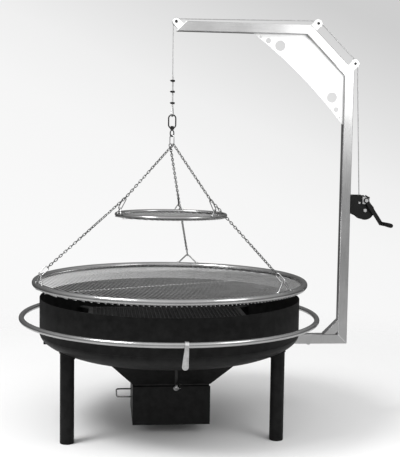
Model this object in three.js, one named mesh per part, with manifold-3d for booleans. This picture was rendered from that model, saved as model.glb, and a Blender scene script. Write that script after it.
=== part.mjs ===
// Swing grill: a fire bowl on three legs with a bent arm, a rope winch and two round grates on chains.
// Millimetres, +Z up. X runs along the arm and Y away from the front.
// While building, the bowl's axis is at X = Y = 0.
import * as THREE from 'three';
import Module from 'manifold-3d';
import { mergeVertices } from 'three/addons/utils/BufferGeometryUtils.js';

const wasm = await Module();
wasm.setup();

// Clearances
const fit = 0.3; // gap between pieces that touch
const weld = 0.4; // depth that welded wires sink into each other
const overrun = 6; // how far a cutting solid runs past the piece that it cuts

// Fire bowl
const bowlRadius = 677;
const bowlRimHeight = 688;
const bowlFloorHeight = 420;
const bowlEdgeRise = 85; // from the floor up to where the upright wall begins
const bowlWallFoot = bowlFloorHeight + bowlEdgeRise;
const bowlEdgeWidth = 117; // from the wall in to where the rounded edge meets the flat floor
const bowlFloorRadius = bowlRadius - bowlEdgeWidth;
const bowlEdgePull = 41; // above the floor, where the rounded edge is drawn towards
const bowlEdgeHeight = bowlFloorHeight + bowlEdgePull;
const bowlSheet = 3;
const throatRadius = 130; // ash opening in the floor
const throatDepth = 48;

// Fire grate and its ledges
const fireGrateHalf = 430;
const fireGrateRise = 135; // above the bowl's floor
const fireGrateHeight = bowlFloorHeight + fireGrateRise;
const fireBar = 6;
const fireBarPitch = 43;
const fireFrameWidth = 24;
const ledgeReach = 14;
const ledgeWidth = 34;
const ledgeThickness = 4;
const cornerLugGap = 5; // between the grate's corner lugs and the bowl wall

// Legs
const legRadius = 35;
const legWall = 3;
const legInset = 72; // leg's middle in from the bowl wall
const legCircle = bowlRadius - legInset;
const legAngles = [210, 330, 90];

// Hand rail
const railReach = 92; // from the bowl wall out to the rail's centre line
const railRadius = bowlRadius + railReach;
const railTube = 13.5;
const railRise = 163; // rail's centre line above the bowl's floor
const railHeight = bowlFloorHeight + railRise;
const railStub = 8;
const railStubAngles = [30, 90, 150];

// Hopper, ash box and its rails
const hopperTopHalf = 340;
const boxHalf = 198;
const hopperDepth = 158;
const hopperFoot = bowlFloorHeight - hopperDepth;
const hopperSheet = 3;
const boxFloor = 52;
const boxTopGap = 11; // below the hopper's foot
const boxTop = hopperFoot - boxTopGap;
const boxSheet = 2.5;
const boxBackDrop = 12; // how much lower the inner end wall is, so that it passes the rails
const boxFlange = 14;
const slideSheet = 2;
const slideSet = 16; // distance of the rail web in from the box wall
const slideLip = 11;
const handleWire = 4.5;
const handleHalf = 82;
const handleReach = 84;
const handleDrop = 82; // below the box's top
const handleHeight = boxTop - handleDrop;

// Flap and lever on the hopper
const flapDrop = 29; // shaft's axis below the bowl's floor
const flapHeight = bowlFloorHeight - flapDrop;
const flapX = 11;
const flapRadius = 118;
const flapSheet = 4;
const flapShaft = 6;
const flapBracketHalf = 12;
const flapBracketReach = 26;
const flapShaftHead = 9;
const flapShaftHeadHeight = 4;
const leverLength = 112;
const leverWidth = 12;
const leverThickness = 4;
const leverGrip = 14;
const leverGripBore = 9.5;
const leverGripLength = 46;
const leverGripTilt = 30; // grip turned up, and to the right
const leverGripTurn = 20;

// Tool that hangs over the rail
const toolX = 22;
const toolSheet = 3;
const toolReach = 108; // from the rail's centre line down to the blade's foot
const toolFoot = railHeight - toolReach;
const toolTopHalf = 9;
const toolFootHalf = 15;
const toolTilt = 4;
const toolPlay = 3.2; // hook's inside radius over the rail's

// Arm of square tube
const tubeSide = 50;
const tubeWall = 4;
const boomTop = 2109;
const boomTipX = 16; // where the slanted end meets the underside
const postGap = 156; // from the rail's centre line out to the post's
const postX = railRadius + postGap;
const cornerDrop = 235; // height and width of the slanted part
const footRise = 35; // foot tube's middle above the bowl's floor
const footHeight = bowlFloorHeight + footRise;
const footTuck = 9; // how far the foot tube reaches in under the bowl's edge
const footInnerX = bowlRadius - footTuck;
const capThickness = 3;
const socketReach = 130; // length of the socket tube inside the foot tube
const socketDepth = 177; // from the bowl wall in to the socket's inner end
const socketInner = bowlRadius - socketDepth;
const socketLeftInset = 20;
const socketLeftX = bowlRadius - socketLeftInset;
const socketWall = 3;

// Gussets
const gussetThickness = 4;
const gussetTopLength = 482; // along the boom, from the post's inner face
const gussetStartX = postX - tubeSide / 2 - gussetTopLength;
const gussetDrop = 513; // from the boom's top down to the gusset's lower point
const gussetFoot = boomTop - gussetDrop;
const gussetSag = 22;
const gussetHoles = [
  { along: 36, depth: 17, radius: 6 },
  { along: 78, depth: 36, radius: 14 },
  { along: 141, depth: 60, radius: 28 },
];
const footGussetLeg = 77;
const footGussetClip = 16;

// Lock screw under the foot tube
const screwSetback = 78; // from the foot tube's inner end
const screwX = footInnerX + screwSetback;
const screwRadius = 6;
const screwHead = 10;
const screwHeadHeight = 8;

// Pulleys
const pulleyStandoff = 36; // pin axis out from the tube's face
const pulleyCheekHalf = 20;
const pulleyCheekRound = 18;
const pulleyCheekThickness = 3;
const sheaveRadius = 21.5;
const sheaveHalfWidth = 7;
const sheavePitch = 14;
const sheaveRim = 2;
const pulleyPin = 5;
const pulleyPinHead = 8;
const pulleyPinHeadHeight = 3;
const cornerSetback = 23; // pulley centre in from the outer corner of the tube

// Wire rope
const ropeRadius = 2.5;

// Winch
const winchReach = 102; // from the post's centre line
const winchAxisX = postX + winchReach;
const drumAxisZ = 1146;
const winchPlateTop = 1227;
const winchPlateFlat = 68; // flat top of a side plate, out from the post
const winchPlateLeftFoot = 1131;
const winchPlateRound = 50;
const winchPlate = 3;
const winchHalfWidth = 30; // inside of the side plates
const drumCore = 16;
const drumFlange = 40;
const drumFlangeThickness = 3;
const gearModule = 2;
const gearTeeth = 42;
const pinionTeeth = 12;
const gearThickness = 7;
const shaftRadius = 7;
const windingTurns = 5;
const windingPitch = 5.9;
const hubHalf = 19;
const hubThickness = 16;
const crankWidth = 21;
const crankThickness = 6;
const crankReachX = 81;
const crankReachZ = -121;
const crankFootX = 27;
const crankFootZ = -5;
const gripRadius = 12;
const gripLength = 96;
const gripPin = 4;
const gripPinHead = 7;
const pawlLength = 24;
const pawlWidth = 9;
const pawlThickness = 4;
const boltHead = 6;
const boltHeadHeight = 5;

// Rope end, swivel and master ring
const loopDrop = 274; // from the boom's top down to where the rope loop starts
const loopTop = boomTop - loopDrop;
const thimbleRadius = 9; // inside of the eye of the rope
const thimbleSheet = 1.2;
const loopNeck = 46; // height over which the two strands come together
const clipDrops = [29, 85, 143];
const clipHeights = clipDrops.map((drop) => loopTop - drop);
const clipHalf = 7;
const clipHeight = 10;
const clipWire = 2.2;
const clipNut = 4.2;
const bowDrop = 200; // from the start of the loop down to the swivel's bow
const bowTop = loopTop - bowDrop;
const bowWire = 3.5;
const bowHalf = 22;
const bowLengthOutside = 73;
const bowFoot = bowTop - bowLengthOutside;
const bowBend = 1.4; // drop of the bow over the width of the thimble
const collarRadius = 11;
const collarHeight = 13;
const stemRadius = 5;
const stemHead = 8.5;
const stemHeadHeight = 5;
const eyeWire = 3;
const eyeLengthOutside = 38.2;
const eyeHalf = 17;
const eyeTurn = 45; // the eye's plane about the vertical
const masterWire = 3;
const masterHalf = 17;
const masterLength = 61;
const masterTurn = -45;

// Chains: plan angle of each, and where its first link sits on the master ring
const chains = [
  { plan: 77.5, seat: 212 },
  { plan: -42.5, seat: 328 },
  { plan: 197.5, seat: 270 },
];
const linkPitch = 16;
const linkWire = 2.6;
const linkInner = 3.2; // half of the inside width
const endLinkInner = 4.8;
const endLinkPitch = 20;
const kinkRadius = 250;
const kinkHeight = 1205;

// Round grates
const bigRadius = 700;
const bigTube = 16.85;
const bigHeight = 764;
const smallRadius = 284;
const smallTube = 9.5;
const smallHeight = 1115;
const barSide = 7;
const barPitch = 21;
const barOverhang = 6; // bar ends past the middle of the ring's tube
const barTurn = 25; // bars from the Y axis
const bigVee = { rise: 48, half: 58, wire: 4, lean: 8 };
const smallVee = { rise: 28, half: 24, wire: 3, lean: 4 };
const connector = { wire: 2.6, inner: 8, length: 52 }; // link between chain and big grate, inside sizes
const hangerWire = 2.2;
const hangerInner = 6;

// Colours, roughness and metalness
const stainless = { color: 0xd6d8da, roughness: 0.28, metalness: 1 };
const blackSteel = { color: 0x1d1e20, roughness: 0.5, metalness: 0.4 };
const ropeSteel = { color: 0xb4b6b8, roughness: 0.4, metalness: 0.9 };
const grateSteel = { color: 0xc2c4c6, roughness: 0.3, metalness: 1 };
const darkSteel = { color: 0x2b2c2e, roughness: 0.45, metalness: 0.7 };
const zincSteel = { color: 0xc9cacb, roughness: 0.35, metalness: 0.9 };
const gripPlastic = { color: 0x141414, roughness: 0.6, metalness: 0 };

const grill = new THREE.Group();

// Adds one named piece to a group
function piece(name, geometry, finish, parent = grill) {
  const mesh = new THREE.Mesh(geometry, new THREE.MeshStandardMaterial(finish));
  mesh.name = name;
  parent.add(mesh);
  return mesh;
}

// Solid for joining and cutting, from a closed geometry
function solidOf(geometry) {
  const plain = geometry.clone();
  plain.deleteAttribute('normal');
  plain.deleteAttribute('uv');
  const merged = mergeVertices(plain, 1e-4);
  const triVerts = Uint32Array.from(merged.index.array);
  const vertProperties = Float32Array.from(merged.attributes.position.array);
  return new wasm.Manifold(new wasm.Mesh({ numProp: 3, vertProperties, triVerts }));
}

// Geometry of a joined or cut solid
function geometryOf(solid) {
  const mesh = solid.getMesh();
  const geometry = new THREE.BufferGeometry();
  geometry.setAttribute('position', new THREE.BufferAttribute(mesh.vertProperties, 3));
  geometry.setIndex(new THREE.BufferAttribute(mesh.triVerts, 1));
  return geometry;
}

// One body out of several overlapping geometries, less the cutting geometries
function joined(parts, cutters = []) {
  let solid = wasm.Manifold.union(parts.map(solidOf));
  for (const cutter of cutters) solid = solid.subtract(solidOf(cutter));
  return geometryOf(solid);
}

// Box between two corners
function boxBetween(x0, x1, y0, y1, z0, z1) {
  const box = new THREE.BoxGeometry(x1 - x0, y1 - y0, z1 - z0);
  return box.translate((x0 + x1) / 2, (y0 + y1) / 2, (z0 + z1) / 2);
}

// Profile of [radius, height] points turned about the Z axis
function turned(profile, segments) {
  const points = profile.map(([radius, height]) => new THREE.Vector2(radius, height));
  return new THREE.LatheGeometry(points, segments).rotateX(Math.PI / 2);
}

// Profile of [radius, position] points turned about the Y axis
function turnedAlongY(profile, segments) {
  const points = profile.map(([radius, along]) => new THREE.Vector2(radius, along));
  return new THREE.LatheGeometry(points, segments);
}

// Outline of [x, z] points, or a shape drawn in X and Z, made solid between two Y values
function sideSolid(outline, y0, y1, steps = 8) {
  const asShape = (points) => new THREE.Shape(points.map(([x, z]) => new THREE.Vector2(x, z)));
  const shape = Array.isArray(outline) ? asShape(outline) : outline;
  const settings = { depth: y1 - y0, bevelEnabled: false, curveSegments: steps };
  const solid = new THREE.ExtrudeGeometry(shape, settings);
  return solid.rotateX(Math.PI / 2).translate(0, y1, 0);
}

// Round rod between Y values, with its axis at x, z
function rodAlongY(radius, x, z, y0, y1, sides = 16) {
  const rod = new THREE.CylinderGeometry(radius, radius, y1 - y0, sides);
  return rod.translate(x, (y0 + y1) / 2, z);
}

// Round rod between heights, with its axis at x, y
function rodAlongZ(radius, x, y, z0, z1, sides = 16) {
  const rod = new THREE.CylinderGeometry(radius, radius, z1 - z0, sides).rotateX(Math.PI / 2);
  return rod.translate(x, y, (z0 + z1) / 2);
}

// Wire or tube along a curve
function wireAlong(curve, radius, sides, steps) {
  const section = new THREE.Shape();
  for (let side = 0; side < sides; side += 1) {
    const angle = (2 * Math.PI * (side + 0.5)) / sides;
    const [x, y] = [radius * Math.cos(angle), radius * Math.sin(angle)];
    if (side === 0) section.moveTo(x, y);
    else section.lineTo(x, y);
  }
  return new THREE.ExtrudeGeometry(section, { steps, extrudePath: curve, bevelEnabled: false });
}

// Closed oval link in the XZ plane, long axis along Z, with its inside width and length
function ovalLink(wire, innerHalf, innerLength, sides, steps) {
  const section = [];
  for (let side = 0; side <= sides; side += 1) {
    const angle = Math.PI + (2 * Math.PI * side) / sides;
    section.push([innerHalf + wire + wire * Math.cos(angle), wire * Math.sin(angle)]);
  }
  section[sides] = section[0];
  const link = turnedAlongY(section, steps);
  const stretch = innerLength / 2 - innerHalf;
  const place = link.attributes.position;
  for (let i = 0; i < place.count; i += 1) {
    const side = Math.sign(Math.round(place.getZ(i) * 1e3));
    place.setZ(i, place.getZ(i) + side * stretch);
  }
  return link;
}

// Chain link in the XZ plane: bent wire of three sides with an edge inwards, square at its four bends
function chainLink(wire, innerHalf, innerLength) {
  const [inner, outer] = [innerHalf * Math.SQRT2, (innerHalf + 1.5 * wire) * Math.SQRT2];
  const edge = wire * Math.sin(Math.PI / 3);
  const link = turnedAlongY([[inner, 0], [outer, -edge], [outer, edge], [inner, 0]], 4).rotateY(Math.PI / 4);
  const stretch = innerLength / 2 - innerHalf;
  const place = link.attributes.position;
  for (let i = 0; i < place.count; i += 1) place.setZ(i, place.getZ(i) + Math.sign(place.getZ(i)) * stretch);
  return link;
}

// Polyline of [a, b] points moved sideways by a distance, with mitred corners
function offsetLine(points, distance) {
  const normalOf = ([a0, b0], [a1, b1]) => {
    const length = Math.hypot(a1 - a0, b1 - b0);
    return [-(b1 - b0) / length, (a1 - a0) / length];
  };
  return points.map(([a, b], i) => {
    const before = normalOf(points[Math.max(i - 1, 0)], points[Math.max(i, 1)]);
    const next = Math.min(i + 1, points.length - 1);
    const after = normalOf(points[Math.min(i, points.length - 2)], points[next]);
    const sum = [before[0] + after[0], before[1] + after[1]];
    const scale = (2 * distance) / (sum[0] ** 2 + sum[1] ** 2);
    return [a + sum[0] * scale, b + sum[1] * scale];
  });
}

const radians = THREE.MathUtils.degToRad;

// Fire bowl: a rolled wall with ledges for the fire grate, on a dished floor with a throat and two cut-outs
const bowlEdge = new THREE.QuadraticBezierCurve(
  new THREE.Vector2(bowlRadius, bowlWallFoot),
  new THREE.Vector2(bowlRadius, bowlEdgeHeight),
  new THREE.Vector2(bowlFloorRadius, bowlFloorHeight),
);
const bowlOuter = bowlEdge.getPoints(3).map((point) => [point.x, point.y]);
bowlOuter.push([throatRadius + bowlSheet, bowlFloorHeight]);
bowlOuter.push([throatRadius + bowlSheet, bowlFloorHeight - throatDepth]);
const bowlInner = offsetLine(bowlOuter, -bowlSheet);
const wallInside = bowlRadius - bowlSheet;
bowlInner[0] = [wallInside, bowlWallFoot];
const bowlDish = turned([...bowlOuter, ...bowlInner.reverse(), bowlOuter[0]].reverse(), 40);
const bowlBand = turned([
  [wallInside, bowlWallFoot + fit],
  [bowlRadius, bowlWallFoot + fit],
  [bowlRadius, bowlRimHeight],
  [wallInside, bowlRimHeight],
  [wallInside, bowlWallFoot + fit],
], 40);
const ledgeTop = fireGrateHeight - fireBar - weld - fit;
const cornerAngles = [45, 135, 225, 315];
const ledges = cornerAngles.map((turn) => {
  const [start, end] = [wallInside - ledgeReach, bowlRadius - bowlSheet / 2];
  const ledge = boxBetween(start, end, -ledgeWidth / 2, ledgeWidth / 2, ledgeTop - ledgeThickness, ledgeTop);
  return ledge.rotateZ(radians(turn));
});
const socketSide = tubeSide - 2 * (tubeWall + fit);
const slot = socketSide / 2 + fit;
const footHalf = tubeSide / 2;
const slotCut = boxBetween(-bowlRadius, bowlRadius, -slot, slot, footHeight - slot, footHeight + slot);
const throatReach = throatRadius + bowlSheet + overrun;
const throatHole = rodAlongY(flapShaft + fit, flapX, flapHeight, -throatReach, throatReach);
piece('bowl_wall', joined([bowlBand, ...ledges]), blackSteel);
piece('bowl_floor', joined([bowlDish], [slotCut, throatHole]), blackSteel);

// Bars side by side along Y at a pitch across X, on a cross bar along X; lengthAt gives a bar's half length
function barGrid(count, lengthAt, crossHalf, top) {
  const half = barSide / 2;
  const parts = [];
  for (let i = -count; i <= count; i += 1) {
    const x = i * barPitch;
    const length = lengthAt(x);
    parts.push(boxBetween(x - half, x + half, -length, length, top - barSide, top));
  }
  parts.push(boxBetween(-crossHalf, crossHalf, -half, half, top - 2 * barSide, top - barSide));
  return joined(parts);
}

// Fire grate: flat frame with bars across it and a lug at each corner that rests on a ledge
const frameTop = fireGrateHeight;
const frameHole = fireGrateHalf - fireFrameWidth;
const frameUnder = frameTop - fireBar;
const frameSlab = (half, z0, z1) => boxBetween(-half, half, -half, half, z0, z1);
const frameOuter = frameSlab(fireGrateHalf, frameUnder, frameTop);
const frameCut = frameSlab(frameHole, frameUnder - overrun, frameTop + overrun);
const fireFrame = joined([frameOuter], [frameCut]);
const cornerLugs = cornerAngles.map((turn) => {
  const [start, end] = [fireGrateHalf * Math.SQRT2 - 0.75 * ledgeWidth, wallInside - cornerLugGap];
  const half = ledgeWidth / 2;
  const lug = boxBetween(start, end, -half, half, frameUnder - weld, frameTop - weld);
  return lug.rotateZ(radians(turn));
});
const fireBars = [fireFrame, ...cornerLugs];
const fireBarCount = Math.floor(frameHole / fireBarPitch);
for (let i = -fireBarCount; i <= fireBarCount; i += 1) {
  const x = i * fireBarPitch;
  const end = frameHole + fireFrameWidth / 2;
  fireBars.push(boxBetween(x - fireBar / 2, x + fireBar / 2, -end, end, frameTop, frameTop + fireBar));
}
fireBars.push(boxBetween(-frameHole - weld, frameHole + weld, -fireBar, fireBar, frameUnder, frameTop));
piece('fire_grate', joined(fireBars), darkSteel);

// Legs: round tubes, closed at the foot, that stop under the bowl
const bowlUnderside = turned([
  [0, bowlFloorHeight - fit],
  [bowlFloorRadius, bowlFloorHeight - fit],
  ...bowlEdge.getPoints(3).reverse().map((point) => [point.x, point.y - fit]),
  [bowlRadius, bowlRimHeight],
  [0, bowlRimHeight],
], 40);
legAngles.forEach((angle, index) => {
  const tube = turned([
    [0, 0],
    [legRadius, 0],
    [legRadius, bowlWallFoot],
    [legRadius - legWall, bowlWallFoot],
    [legRadius - legWall, legWall],
    [0, legWall],
  ], 16).translate(legCircle, 0, 0).rotateZ(radians(angle));
  piece(`leg_${index + 1}`, joined([tube], [bowlUnderside]), blackSteel);
});

// Hand rail: round tube ring with stubs that end at the bowl wall
const railRing = new THREE.TorusGeometry(railRadius, railTube, 6, 44).translate(0, 0, railHeight);
const railStubs = railStubAngles.map((angle) => {
  const start = bowlRadius + fit;
  const stub = new THREE.CylinderGeometry(railStub, railStub, railRadius - start, 8).rotateZ(Math.PI / 2);
  return stub.translate((railRadius + start) / 2, 0, railHeight).rotateZ(radians(angle));
});
piece('hand_rail', joined([railRing, ...railStubs]), stainless);

// Hopper: four-sided funnel of sheet under the bowl's floor
function squareFunnel(topHalf, footHalf, top, foot) {
  const funnel = new THREE.CylinderGeometry(topHalf * Math.SQRT2, footHalf * Math.SQRT2, top - foot, 4);
  return funnel.rotateY(Math.PI / 4).rotateX(Math.PI / 2).translate(0, 0, (top + foot) / 2);
}
const hopperTop = bowlFloorHeight - fit;
const hopperRun = (hopperTopHalf - boxHalf) / (hopperTop - hopperFoot);
const hopperHalfAt = (height) => boxHalf + (height - hopperFoot) * hopperRun;
const hopperOuter = squareFunnel(hopperTopHalf, boxHalf, hopperTop, hopperFoot);
const hopperHollow = squareFunnel(
  hopperHalfAt(hopperTop + overrun) - hopperSheet,
  hopperHalfAt(hopperFoot - overrun) - hopperSheet,
  hopperTop + overrun,
  hopperFoot - overrun,
);
const shaftHole = rodAlongY(flapShaft + fit, flapX, flapHeight, -hopperTopHalf, 0);
const bracketWall = hopperHalfAt(flapHeight);
const bracketOut = -(bracketWall + flapBracketReach);
const bracketBlock = boxBetween(
  flapX - flapBracketHalf,
  flapX + flapBracketHalf,
  bracketOut,
  -bracketWall + flapBracketHalf,
  flapHeight - flapBracketHalf,
  flapHeight + flapBracketHalf,
);
const bracketBore = rodAlongY(flapShaft + fit, flapX, flapHeight, bracketOut - overrun, 0);
piece('hopper', joined([hopperOuter, bracketBlock], [hopperHollow, shaftHole, bracketBore]), blackSteel);

// Ash box: open box with inward flanges along its sides and a lower inner end wall
const flangeFoot = boxTop - boxSheet;
const boxOuter = boxBetween(-boxHalf, boxHalf, -boxHalf, boxHalf, boxFloor, boxTop);
const boxInside = boxHalf - boxSheet;
const boxHollow = boxBetween(-boxInside, boxInside, -boxInside, boxInside, boxFloor + boxSheet, flangeFoot);
const mouthHalf = boxHalf - boxFlange;
const boxInFloor = boxFloor + boxSheet;
const boxMouth = boxBetween(-boxInside, boxInside, -mouthHalf, mouthHalf, boxInFloor, boxTop + overrun);
const backTop = boxTop - boxBackDrop;
const boxEnd = boxHalf + overrun;
const boxBack = boxBetween(boxInside - fit, boxEnd, -boxInside, boxInside, backTop, boxTop + overrun);
piece('ash_box', joined([boxOuter], [boxHollow, boxMouth, boxBack]), blackSteel);

// Slides: bent strips under the hopper, with a lip under each flange of the box
const webY = boxHalf - slideSet;
const lipTop = flangeFoot - fit;
const slideTop = hopperFoot - fit;
const slideOutline = [
  [webY - slideSheet, slideTop],
  [webY - slideSheet, lipTop - slideSheet],
  [webY - slideSheet + slideLip, lipTop - slideSheet],
  [webY - slideSheet + slideLip, lipTop],
  [webY, lipTop],
  [webY, slideTop - slideSheet],
  [boxHalf, slideTop - slideSheet],
  [boxHalf, slideTop],
];
const slideHalf = boxInside - boxSheet;
for (const [name, turn] of [['box_slide_back', 90], ['box_slide_front', -90]]) {
  const strip = sideSolid(slideOutline, -slideHalf, slideHalf).rotateZ(radians(turn));
  piece(name, strip, darkSteel);
}

// Flap in the throat on its shaft, which turns in the bracket on the hopper's front wall
const leverFront = bracketOut - fit - leverThickness;
const flapShaftEnd = leverFront - fit;
const flapDisc = rodAlongZ(flapRadius, 0, 0, flapHeight - flapSheet / 2, flapHeight + flapSheet / 2, 32);
const flapRod = rodAlongY(flapShaft, flapX, flapHeight, flapShaftEnd, throatRadius + bowlSheet + fit, 12);
const headBack = flapShaftEnd - flapShaftHeadHeight;
const flapHead = rodAlongY(flapShaftHead, flapX, flapHeight, headBack, flapShaftEnd, 6);
piece('ash_flap', joined([flapDisc, flapRod, flapHead]), darkSteel);

// Lever on the end of the shaft, with a tube grip on its tilted foot plate
const leverFoot = flapHeight - leverLength;
const leverBack = bracketOut - fit;
const leverBar = boxBetween(
  flapX - leverWidth / 2,
  flapX + leverWidth / 2,
  leverFront,
  leverBack,
  leverFoot,
  flapHeight,
);
const leverEye = rodAlongY(flapShaftHead + fit, flapX, flapHeight, leverFront, leverBack, 14);
const footPlate = rodAlongY(leverGrip, 0, 0, -leverThickness / 2, leverThickness / 2, 14);
const placeGrip = (geometry) => geometry.rotateX(radians(-leverGripTilt)).rotateZ(radians(leverGripTurn))
  .translate(flapX, (leverFront + leverBack) / 2, leverFoot);
const leverBore = rodAlongY(flapShaft + fit, flapX, flapHeight, leverFront - overrun, leverBack + overrun);
const gripBack = weld - leverThickness / 2;
const gripTube = turnedAlongY([
  [leverGripBore, gripBack - leverGripLength],
  [leverGrip, gripBack - leverGripLength],
  [leverGrip, gripBack],
  [leverGripBore, gripBack],
  [leverGripBore, gripBack - leverGripLength],
], 14);
const leverSolids = [leverBar, leverEye, placeGrip(footPlate), placeGrip(gripTube)];
piece('flap_lever', joined(leverSolids, [leverBore]), stainless);

// Tool that hangs over the rail by its bent top
const hookInner = railTube + toolPlay;
const hookShape = new THREE.Shape();
hookShape.moveTo(-hookInner - toolSheet, 0);
hookShape.absarc(0, 0, hookInner + toolSheet, Math.PI, radians(-20), true);
hookShape.absarc(0, 0, hookInner, radians(-20), Math.PI, false);
const toolHook = sideSolid(hookShape, -toolTopHalf, toolTopHalf, 10).rotateZ(Math.PI / 2);
const toolDrop = railHeight - toolFoot - toolFootHalf;
const bladeShape = new THREE.Shape();
bladeShape.moveTo(toolTopHalf, toolSheet);
bladeShape.lineTo(toolFootHalf, -toolDrop);
bladeShape.absarc(0, -toolDrop, toolFootHalf, 0, Math.PI, true);
bladeShape.lineTo(-toolTopHalf, toolSheet);
const toolBlade = sideSolid(bladeShape, -hookInner - toolSheet, -hookInner, 8);
const rackTool = piece('rack_tool', joined([toolHook, toolBlade]), stainless);
const toolRest = toolPlay - fit - toolTopHalf * Math.sin(radians(toolTilt));
rackTool.position.set(toolX, toolPlay / 2 - railRadius, railHeight - toolRest);
rackTool.rotation.y = radians(toolTilt);

// Arm: mitred square tubes along one line from the boom tip to the foot
const postOuter = postX + footHalf;
const footUnder = footHeight - footHalf;
const boomUnder = boomTop - tubeSide;
const armOutside = [
  [boomTipX + tubeSide, boomTop],
  [postOuter - cornerDrop, boomTop],
  [postOuter, boomTop - cornerDrop],
  [postOuter, footUnder],
  [footInnerX, footUnder],
];
const armMiddle = offsetLine(armOutside, -footHalf);
const directionOf = (index) => {
  const [[x0, z0], [x1, z1]] = [armMiddle[index], armMiddle[index + 1]];
  return new THREE.Vector3(x1 - x0, 0, z1 - z0).normalize();
};
// Square tube between two mitres. Further end planes are [normal, offset] and
// keep the side that the normal shows
function armTube(index, endPlanes = [], cutters = []) {
  const [[x0, z0], [x1, z1]] = [armMiddle[index], armMiddle[index + 1]];
  const length = Math.hypot(x1 - x0, z1 - z0) + 4 * tubeSide;
  const bore = tubeSide - 2 * tubeWall;
  const outside = new THREE.BoxGeometry(length, tubeSide, tubeSide);
  const inside = new THREE.BoxGeometry(length + overrun, bore, bore);
  for (const box of [outside, inside]) {
    box.rotateY(-Math.atan2(z1 - z0, x1 - x0)).translate((x0 + x1) / 2, 0, (z0 + z1) / 2);
  }
  const corner = (place) => new THREE.Vector3(armMiddle[place][0], 0, armMiddle[place][1]);
  const planes = [...endPlanes];
  if (index > 0) {
    const normal = directionOf(index - 1).add(directionOf(index)).normalize();
    planes.push([normal, normal.dot(corner(index)) + fit / 2]);
  }
  if (index < armMiddle.length - 2) {
    const normal = directionOf(index).add(directionOf(index + 1)).normalize();
    planes.push([normal.clone().negate(), fit / 2 - normal.dot(corner(index + 1))]);
  }
  let tube = solidOf(outside).subtract(solidOf(inside));
  for (const [normal, offset] of planes) tube = tube.trimByPlane(normal.toArray(), offset);
  for (const cutter of cutters) tube = tube.subtract(solidOf(cutter));
  return geometryOf(tube);
}
const tipNormal = new THREE.Vector3(1, 0, -1).normalize();
const tipOffset = tipNormal.dot(new THREE.Vector3(boomTipX, 0, boomUnder));
piece('boom', armTube(0, [[tipNormal, tipOffset + capThickness + fit]]), stainless);
piece('arm_diagonal', armTube(1), stainless);
piece('arm_post', armTube(2), stainless);
const wallTop = footUnder + tubeWall;
const screwHole = rodAlongZ(screwRadius + fit, screwX, 0, footUnder - overrun, wallTop + overrun, 12);
piece('foot_tube', armTube(3, [[new THREE.Vector3(1, 0, 0), footInnerX]], [screwHole]), stainless);
const capShift = capThickness * Math.SQRT2;
const capOutline = [
  [boomTipX, boomUnder],
  [boomTipX + capShift, boomUnder],
  [boomTipX + tubeSide + capShift, boomTop],
  [boomTipX + tubeSide, boomTop],
];
piece('boom_end_cap', sideSolid(capOutline, -footHalf, footHalf), stainless);

// Socket tubes that stick out of the bowl's lower edge; the foot tube slides over the right one
function socketTube(name, x0, x1) {
  const outside = socketSide / 2;
  const inside = outside - socketWall;
  const tube = boxBetween(x0, x1, -outside, outside, footHeight - outside, footHeight + outside);
  const [low, high] = [footHeight - inside, footHeight + inside];
  const bore = boxBetween(x0 - overrun, x1 + overrun, -inside, inside, low, high);
  piece(name, joined([tube], [bore]), blackSteel);
}
socketTube('arm_socket', socketInner, footInnerX + socketReach);
socketTube('side_socket', -socketLeftX, -socketInner);
const screwTop = footHeight - socketSide / 2 - fit;
const lockShank = rodAlongZ(screwRadius, screwX, 0, footUnder - fit - screwHeadHeight, screwTop, 12);
const lockHead = rodAlongZ(screwHead, screwX, 0, footUnder - fit - screwHeadHeight, footUnder - fit, 6);
piece('lock_screw', joined([lockShank, lockHead]), zincSteel);

// Gusset plate in the upper bend: curved inner edge and three holes towards each end
const armInside = offsetLine(armOutside, -tubeSide - fit);
const gussetStart = [gussetStartX, boomUnder - fit];
const gussetEnd = [postX - footHalf - fit, gussetFoot];
const gussetChord = [gussetEnd[0] - gussetStart[0], gussetEnd[1] - gussetStart[1]];
const chordLength = Math.hypot(...gussetChord);
const gussetShape = new THREE.Shape();
gussetShape.moveTo(...gussetStart);
gussetShape.lineTo(...armInside[1]);
gussetShape.lineTo(...armInside[2]);
gussetShape.lineTo(...gussetEnd);
gussetShape.quadraticCurveTo(
  (gussetStart[0] + gussetEnd[0]) / 2 - (2 * gussetSag * gussetChord[1]) / chordLength,
  (gussetStart[1] + gussetEnd[1]) / 2 + (2 * gussetSag * gussetChord[0]) / chordLength,
  ...gussetStart,
);
for (const { along, depth, radius } of gussetHoles) {
  const hole = (x, z) => new THREE.Path().absarc(x, z, radius, 0, 2 * Math.PI);
  const boomHole = hole(gussetStart[0] + along, gussetStart[1] - depth);
  const postHole = hole(gussetEnd[0] - depth, gussetEnd[1] + along);
  gussetShape.holes.push(boomHole, postHole);
}
const gussetSolid = sideSolid(gussetShape, -gussetThickness / 2, gussetThickness / 2, 7);
piece('gusset_plate', joined([gussetSolid]), stainless);
const cornerX = postX - footHalf - fit;
const cornerZ = footHeight + footHalf + fit;
const footGussetOutline = [
  [cornerX - footGussetLeg, cornerZ],
  [cornerX - footGussetClip, cornerZ],
  [cornerX, cornerZ + footGussetClip],
  [cornerX, cornerZ + footGussetLeg],
];
piece('foot_gusset', sideSolid(footGussetOutline, -footHalf, footHalf), stainless);

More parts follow.
